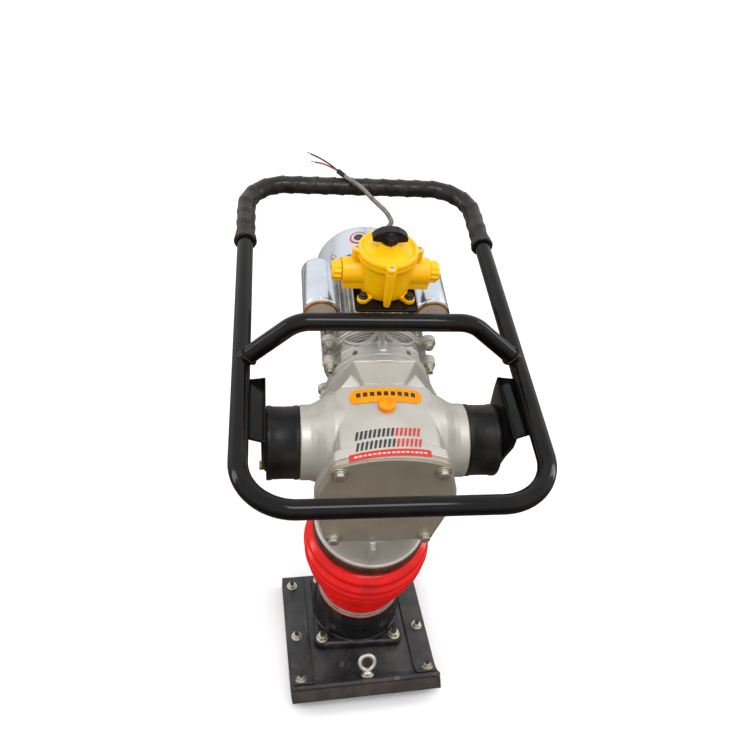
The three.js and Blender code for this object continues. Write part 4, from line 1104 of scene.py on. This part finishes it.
def add_loop():
    radius, up, half = HANDLE["radius"], HANDLE["up"], HANDLE["half"]
    piece("loop_front", swept(loop_half(HANDLE["front"], HANDLE["seam"], 14), radius, 40), LEG, "enamel",
          "handle", "tube_front")
    piece("loop_rear", swept(loop_half(HANDLE["back"], HANDLE["seam"] + 0.3, 14), radius, 40), LEG, "enamel",
          "handle", "tube_rear")
    route = loop_half(HANDLE["back"], GRIP["start"], 1.3)
    total = sum((b - a).length for a, b in zip(route, route[1:]))

    def wrap(along, angle):
        """Each turn of the wrap lies over the one before, in a mirrored hand on the two sides."""
        distance = min(along, total - along)
        step = (distance / GRIP["pitch"] + angle / (2 * math.pi)) % 1
        end = min(1.0, distance / 4)
        return 15 + (1.2 + 1.4 * step ** 1.6 - 0.5 * math.exp(-((step - 0.5) / 0.2) ** 2)) * end

    piece("wrapped_sleeve", swept(route, wrap, 56), LEG, "grip", "handle", "grip_sleeve", crease=50)
    for side, name in SIDES:
        collar = turned([(14.3, -14), (17.6, -14), (19.6, -13), (20.2, -11), (19.6, -8), (18.6, -6.5),
                         (19, -4.5), (19, -1),
                         (18.2, 0.6), (17, 2), (14.3, 2), (14.3, -14)], "y", 72)
        piece("sleeve_collar_" + name, moved(collar, (side * half, GRIP["start"], up)), LEG, "grip", "handle",
              crease=60)
    x = BRIDGE["half"]
    corners = [(-half, BRIDGE["foot"], up), (-x, BRIDGE["back"], BRIDGE["up"]),
               (x, BRIDGE["back"], BRIDGE["up"]),
               (half, BRIDGE["foot"], up)]
    piece("bridge_bar", swept(rounded_route(corners, BRIDGE["bend"], 24, 14), radius, 40), LEG, "enamel",
          "handle", "bridge_tube")
    rise = Vector((half - x, BRIDGE["foot"] - BRIDGE["back"], up - BRIDGE["up"])).normalized()
    for side, name in SIDES:
        direction = Vector((side * rise.x, rise.y, rise.z))
        centre = Vector((side * half, BRIDGE["foot"], up)) - direction * 14.4
        weld("bridge_weld_" + name, centre, direction, 14.2)


def add_brackets():
    back, up, outer = TRUNNION["back"], TRUNNION["up"], MOUNT["outer"]
    front, rear, top, thick = BRACKET["front"], BRACKET["rear"], BRACKET["top"], BRACKET["thick"]
    outline = [(rear, top), (rear, top - 24), (back + 50, up + 19), (back + 44, up - 6), (back + 36, up - 14),
               (back - 36, up - 14), (back - 44, up - 6), (back - 50, up + 19), (front, top - 24),
               (front, top)]
    for side, name in SIDES:
        x0 = outer + 0.3
        plate = prism(outline, min(side * x0, side * (x0 + thick)), max(side * x0, side * (x0 + thick)), "x")
        reach = HANDLE["half"] - 5
        shelf = prism([(side * x0, front), (side * reach, front + 10), (side * reach, rear - 4),
                       (side * x0, rear)],
                      top - thick, top)
        piece("mount_plate_" + name, together(plate, shelf), LEG, "enamel", "handle",
              "bracket_" + name, edge=1.2)
        bead = [Vector((side * (HANDLE["half"] - 9), y, top + 0.5)) for y in range(int(front) + 12,
                                                                                   int(rear) - 4, 1)]
        ripple = swept(bead, lambda along, angle: 2.4 + 0.5 * math.sin(along * 2.1), 12)
        piece("shelf_weld_" + name, ripple, LEG, "enamel", "handle")
        r, inner = MOUNT["radius"], MOUNT["inner"]
        bush = [(0, inner), (r - 2, inner), (r - 0.4, inner + 0.8), (r, inner + 2.5), (r, inner + 7),
                (r - 1.2, inner + 9),
                (r - 1.6, (inner + outer) / 2), (r - 1.2, outer - 9), (r, outer - 7), (r, outer - 2),
                (r - 1, outer), (0, outer)]
        bush = [(a, side * h) for a, h in bush]
        piece("rubber_bush_" + name, moved(turned(bush, "x", 96), (0, back, up)), LEG, "rubber", "handle",
              "mount_rubber_" + name)
        for k, (y, z, tone) in enumerate(((30, 30, "zinc"), (-30, 30, "zinc"), (-24, -24, "bronze"))):
            if side == LEFT and tone == "zinc":
                continue
            spot = (side * (x0 + (thick + 0.1 if z > 0 else 0)), back + y, up + z)
            head = moved(bolt(13, 10, 10), spot, side * QUARTER, "Y")
            piece(f"mount_bolt_{name}_{k}", head, LEG, tone, "handle", edge=0.3, crease=40)


# --- switch ---------------------------------------------------------------------------------------
def switch_place():
    return LEG @ Matrix.Translation((SWITCH["x"] * MM, SWITCH["back"] * MM, SWITCH["base"] * MM))


def add_switch():
    place = switch_place()
    height = SWITCH["lid"] - 0.3 - SWITCH["base"]
    radius, rim, entry = SWITCH["radius"], SWITCH["rim"], SWITCH["entry"] - SWITCH["base"]
    plate = prism(rounded_outline(0, 0, 48, 57, 6), -4.3, -0.3)
    bar = moved(disc(HANDLE["radius"] + 0.4, -100, 100, "x"), (0, BRIDGE["back"] - SWITCH["back"],
                                                               BRIDGE["up"] - SWITCH["base"]))
    piece("switch_base_plate", plate, place, "enamel", "handle", "switch_plate", edge=0.8,
          cuts=bar)
    drum = turned([(0, 0), (radius - 5, 0), (radius - 2.6, 3), (radius - 1.4, 12), (radius, height - 9),
                   (rim - 0.6, height - 6.5),
                   (rim, height - 5), (rim, height), (0, height)], "z", 96)
    parts = [drum]
    for degrees in (45, 135, 225, 315):
        parts.append(moved(block(20, 50, -8.6, 8.6, 0, 7), turn=math.radians(degrees)))
        parts.append(moved(disc(9, 0, 7.5, edge=1), polar(50, degrees)))
    for degrees in (0, 90, 180, 270):
        low = 0 if degrees == 270 else height - 30
        column = turned([(0, low), (5, low), (6.4, low + 14), (7.2, height - 16), (7.4, height), (0, height)],
                        "z", 40)
        parts.append(moved(column, polar(rim + 1, degrees)))
    collar = [(0, -67), (20, -67), (21, -66), (21, 66), (20, 67), (0, 67)]
    parts.append(moved(turned(collar, "x", 80), (0, 0, entry)))
    parts.append(moved(disc(13, 30, 56, "y", edge=1), (0, 0, entry)))
    for side in (LEFT, RIGHT):
        parts.append(block(min(side * 36, side * 66), max(side * 36, side * 66), -19, 19, 9, entry))
    piece("switch_drum", together(*parts), place, "yellow", "handle", "switch_body",
          cast=(0.9, 4))
    lid = turned([(0, 0), (rim, 0), (rim + 0.2, 1), (rim, 6.5), (rim - 1, 8.6), (rim - 3, 10.4),
                  (rim - 5, 10.6),
                  (rim - 6.6, 8.4), (rim - 7.6, 6), (30, 9.4), (20, 11.2), (15, 12), (14, 12.8), (13.4, 17),
                  (12.4, 19), (0, 19)],
                 "z", 96)
    parts = [lid]
    for degrees in (0, 90, 180, 270):
        parts.append(moved(disc(7.4, 0, 7, edge=1), polar(rim + 1, degrees)))
    lid_place = place @ Matrix.Translation((0, 0, (SWITCH["lid"] - SWITCH["base"]) * MM))
    piece("switch_cap", together(*parts), lid_place, "yellow", "handle", "switch_lid",
          cast=(0.8, 3))
    for k, degrees in enumerate((0, 90, 180, 270)):
        screw = turned([(0, 5.5), (4, 5.5), (4, 7.6), (3, 8.6), (1.6, 8.8), (1.6, 7.2), (0, 7.2)], "z", 32)
        piece(f"lid_screw_{k}", moved(screw, polar(rim + 1.6, degrees)), lid_place, "zinc", "handle")
        foot_bolt = moved(bolt(10, 7.6, 7.5), polar(50, degrees + 45, 7.3))
        piece(f"lug_bolt_{k}", foot_bolt, place, "dark_steel", "handle", edge=0.25, crease=40)
    for side, name in SIDES:
        lobes = [moved(disc(3.2, 0.6, 12, "x", edge=0.8, segments=20),
                       (0, 13.8 * math.cos(a), 13.8 * math.sin(a)))
                 for a in (2 * math.pi * k / 12 for k in range(12))]
        fitting = together(turned([(0, 0), (13.6, 0), (15.4, 1), (15.4, 11.5), (14, 12.8), (13.6, 15),
                                   (7, 15.2), (7, 12),
                                   (0, 12)], "x", 72), *lobes)
        fitting = moved(fitting, (67.3, 0, entry))
        if side == LEFT:
            fitting = moved(fitting, turn=math.pi)
        piece("entry_nut_" + name, fitting, place, "yellow", "handle", "gland_nut_" + name,
              cast=(0.7, 2))
    gland = [turned([(4.9, 0), (10.4, 0), (11, 0.8), (11, 11), (10, 12), (8, 12.4), (7.8, 13), (7.2, 17),
                     (6.4, 22),
                     (4.9, 22), (4.9, 0)], "y", 56)]
    gland += [moved(block(-1, 1, 1, 11, 10, 11.6), turn=math.pi * k / 8, axis="Y") for k in range(16)]
    piece("lead_gland", moved(together(*gland), (0, 56.3, entry)), place, "yellow", "handle",
          "cord_gland", edge=0.3)
    bar = prism([(-26, 5), (-26.6, 10), (-22, 16), (-12, 22), (0, 24), (12, 22), (22, 16), (26.6, 10),
                 (26, 5), (10, 2.6),
                 (-10, 2.6)], -7.4, 7.4, "y")
    hub = turned([(0, 0), (12, 0), (14, 4), (13, 12), (9, 20), (0, 23)], "z", 64)
    nose = prism([(-6, -8), (6, -8), (2.4, -15), (-2.4, -15)], 2.6, 12)
    knob_place = lid_place @ Matrix.Translation((0, 0, 19.4 * MM))
    piece("rotary_knob", together(bar, hub, nose), knob_place, "black", "knob",
          "switch_knob",
          cast=(0.6, 5))


# --- inner pieces keep their CAD shape and take a finish ------------------------------------------
INNER = {
    "steel": ("spring_tube", "spring_tube_cap", "crank_bearing", "crank_gear", "con_rod", "crank_pin",
              "piston_rod",
              "wrist_pin", "motor_shaft", "shaft_bearing"),
    "bronze": ("guide_bush",),
    "core": ("stator_core", "rotor_core"),
    "black": ("cooling_fan",),
}


def finish_inner():
    for paint, nodes in INNER.items():
        for node in nodes:
            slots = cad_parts[node].data.materials
            slots.clear()
            slots.append(PAINTS[paint])


add_camera()
add_cord()
add_studio()
add_foot()
add_bellows()
add_band("upper_band", "clamp_upper", "crankcase", 96.5, 356, 374, 120, "dark_band")
add_band("lower_band", "clamp_lower", "ram", 78.8, 155, 170, 60, "band")
add_springs()
add_crankcase()
add_front_cover()
add_labels()
add_oil_plug()
add_adapter()
add_motor_body()
add_fan_end()
add_capacitors()
add_loop()
add_brackets()
add_switch()
finish_inner()
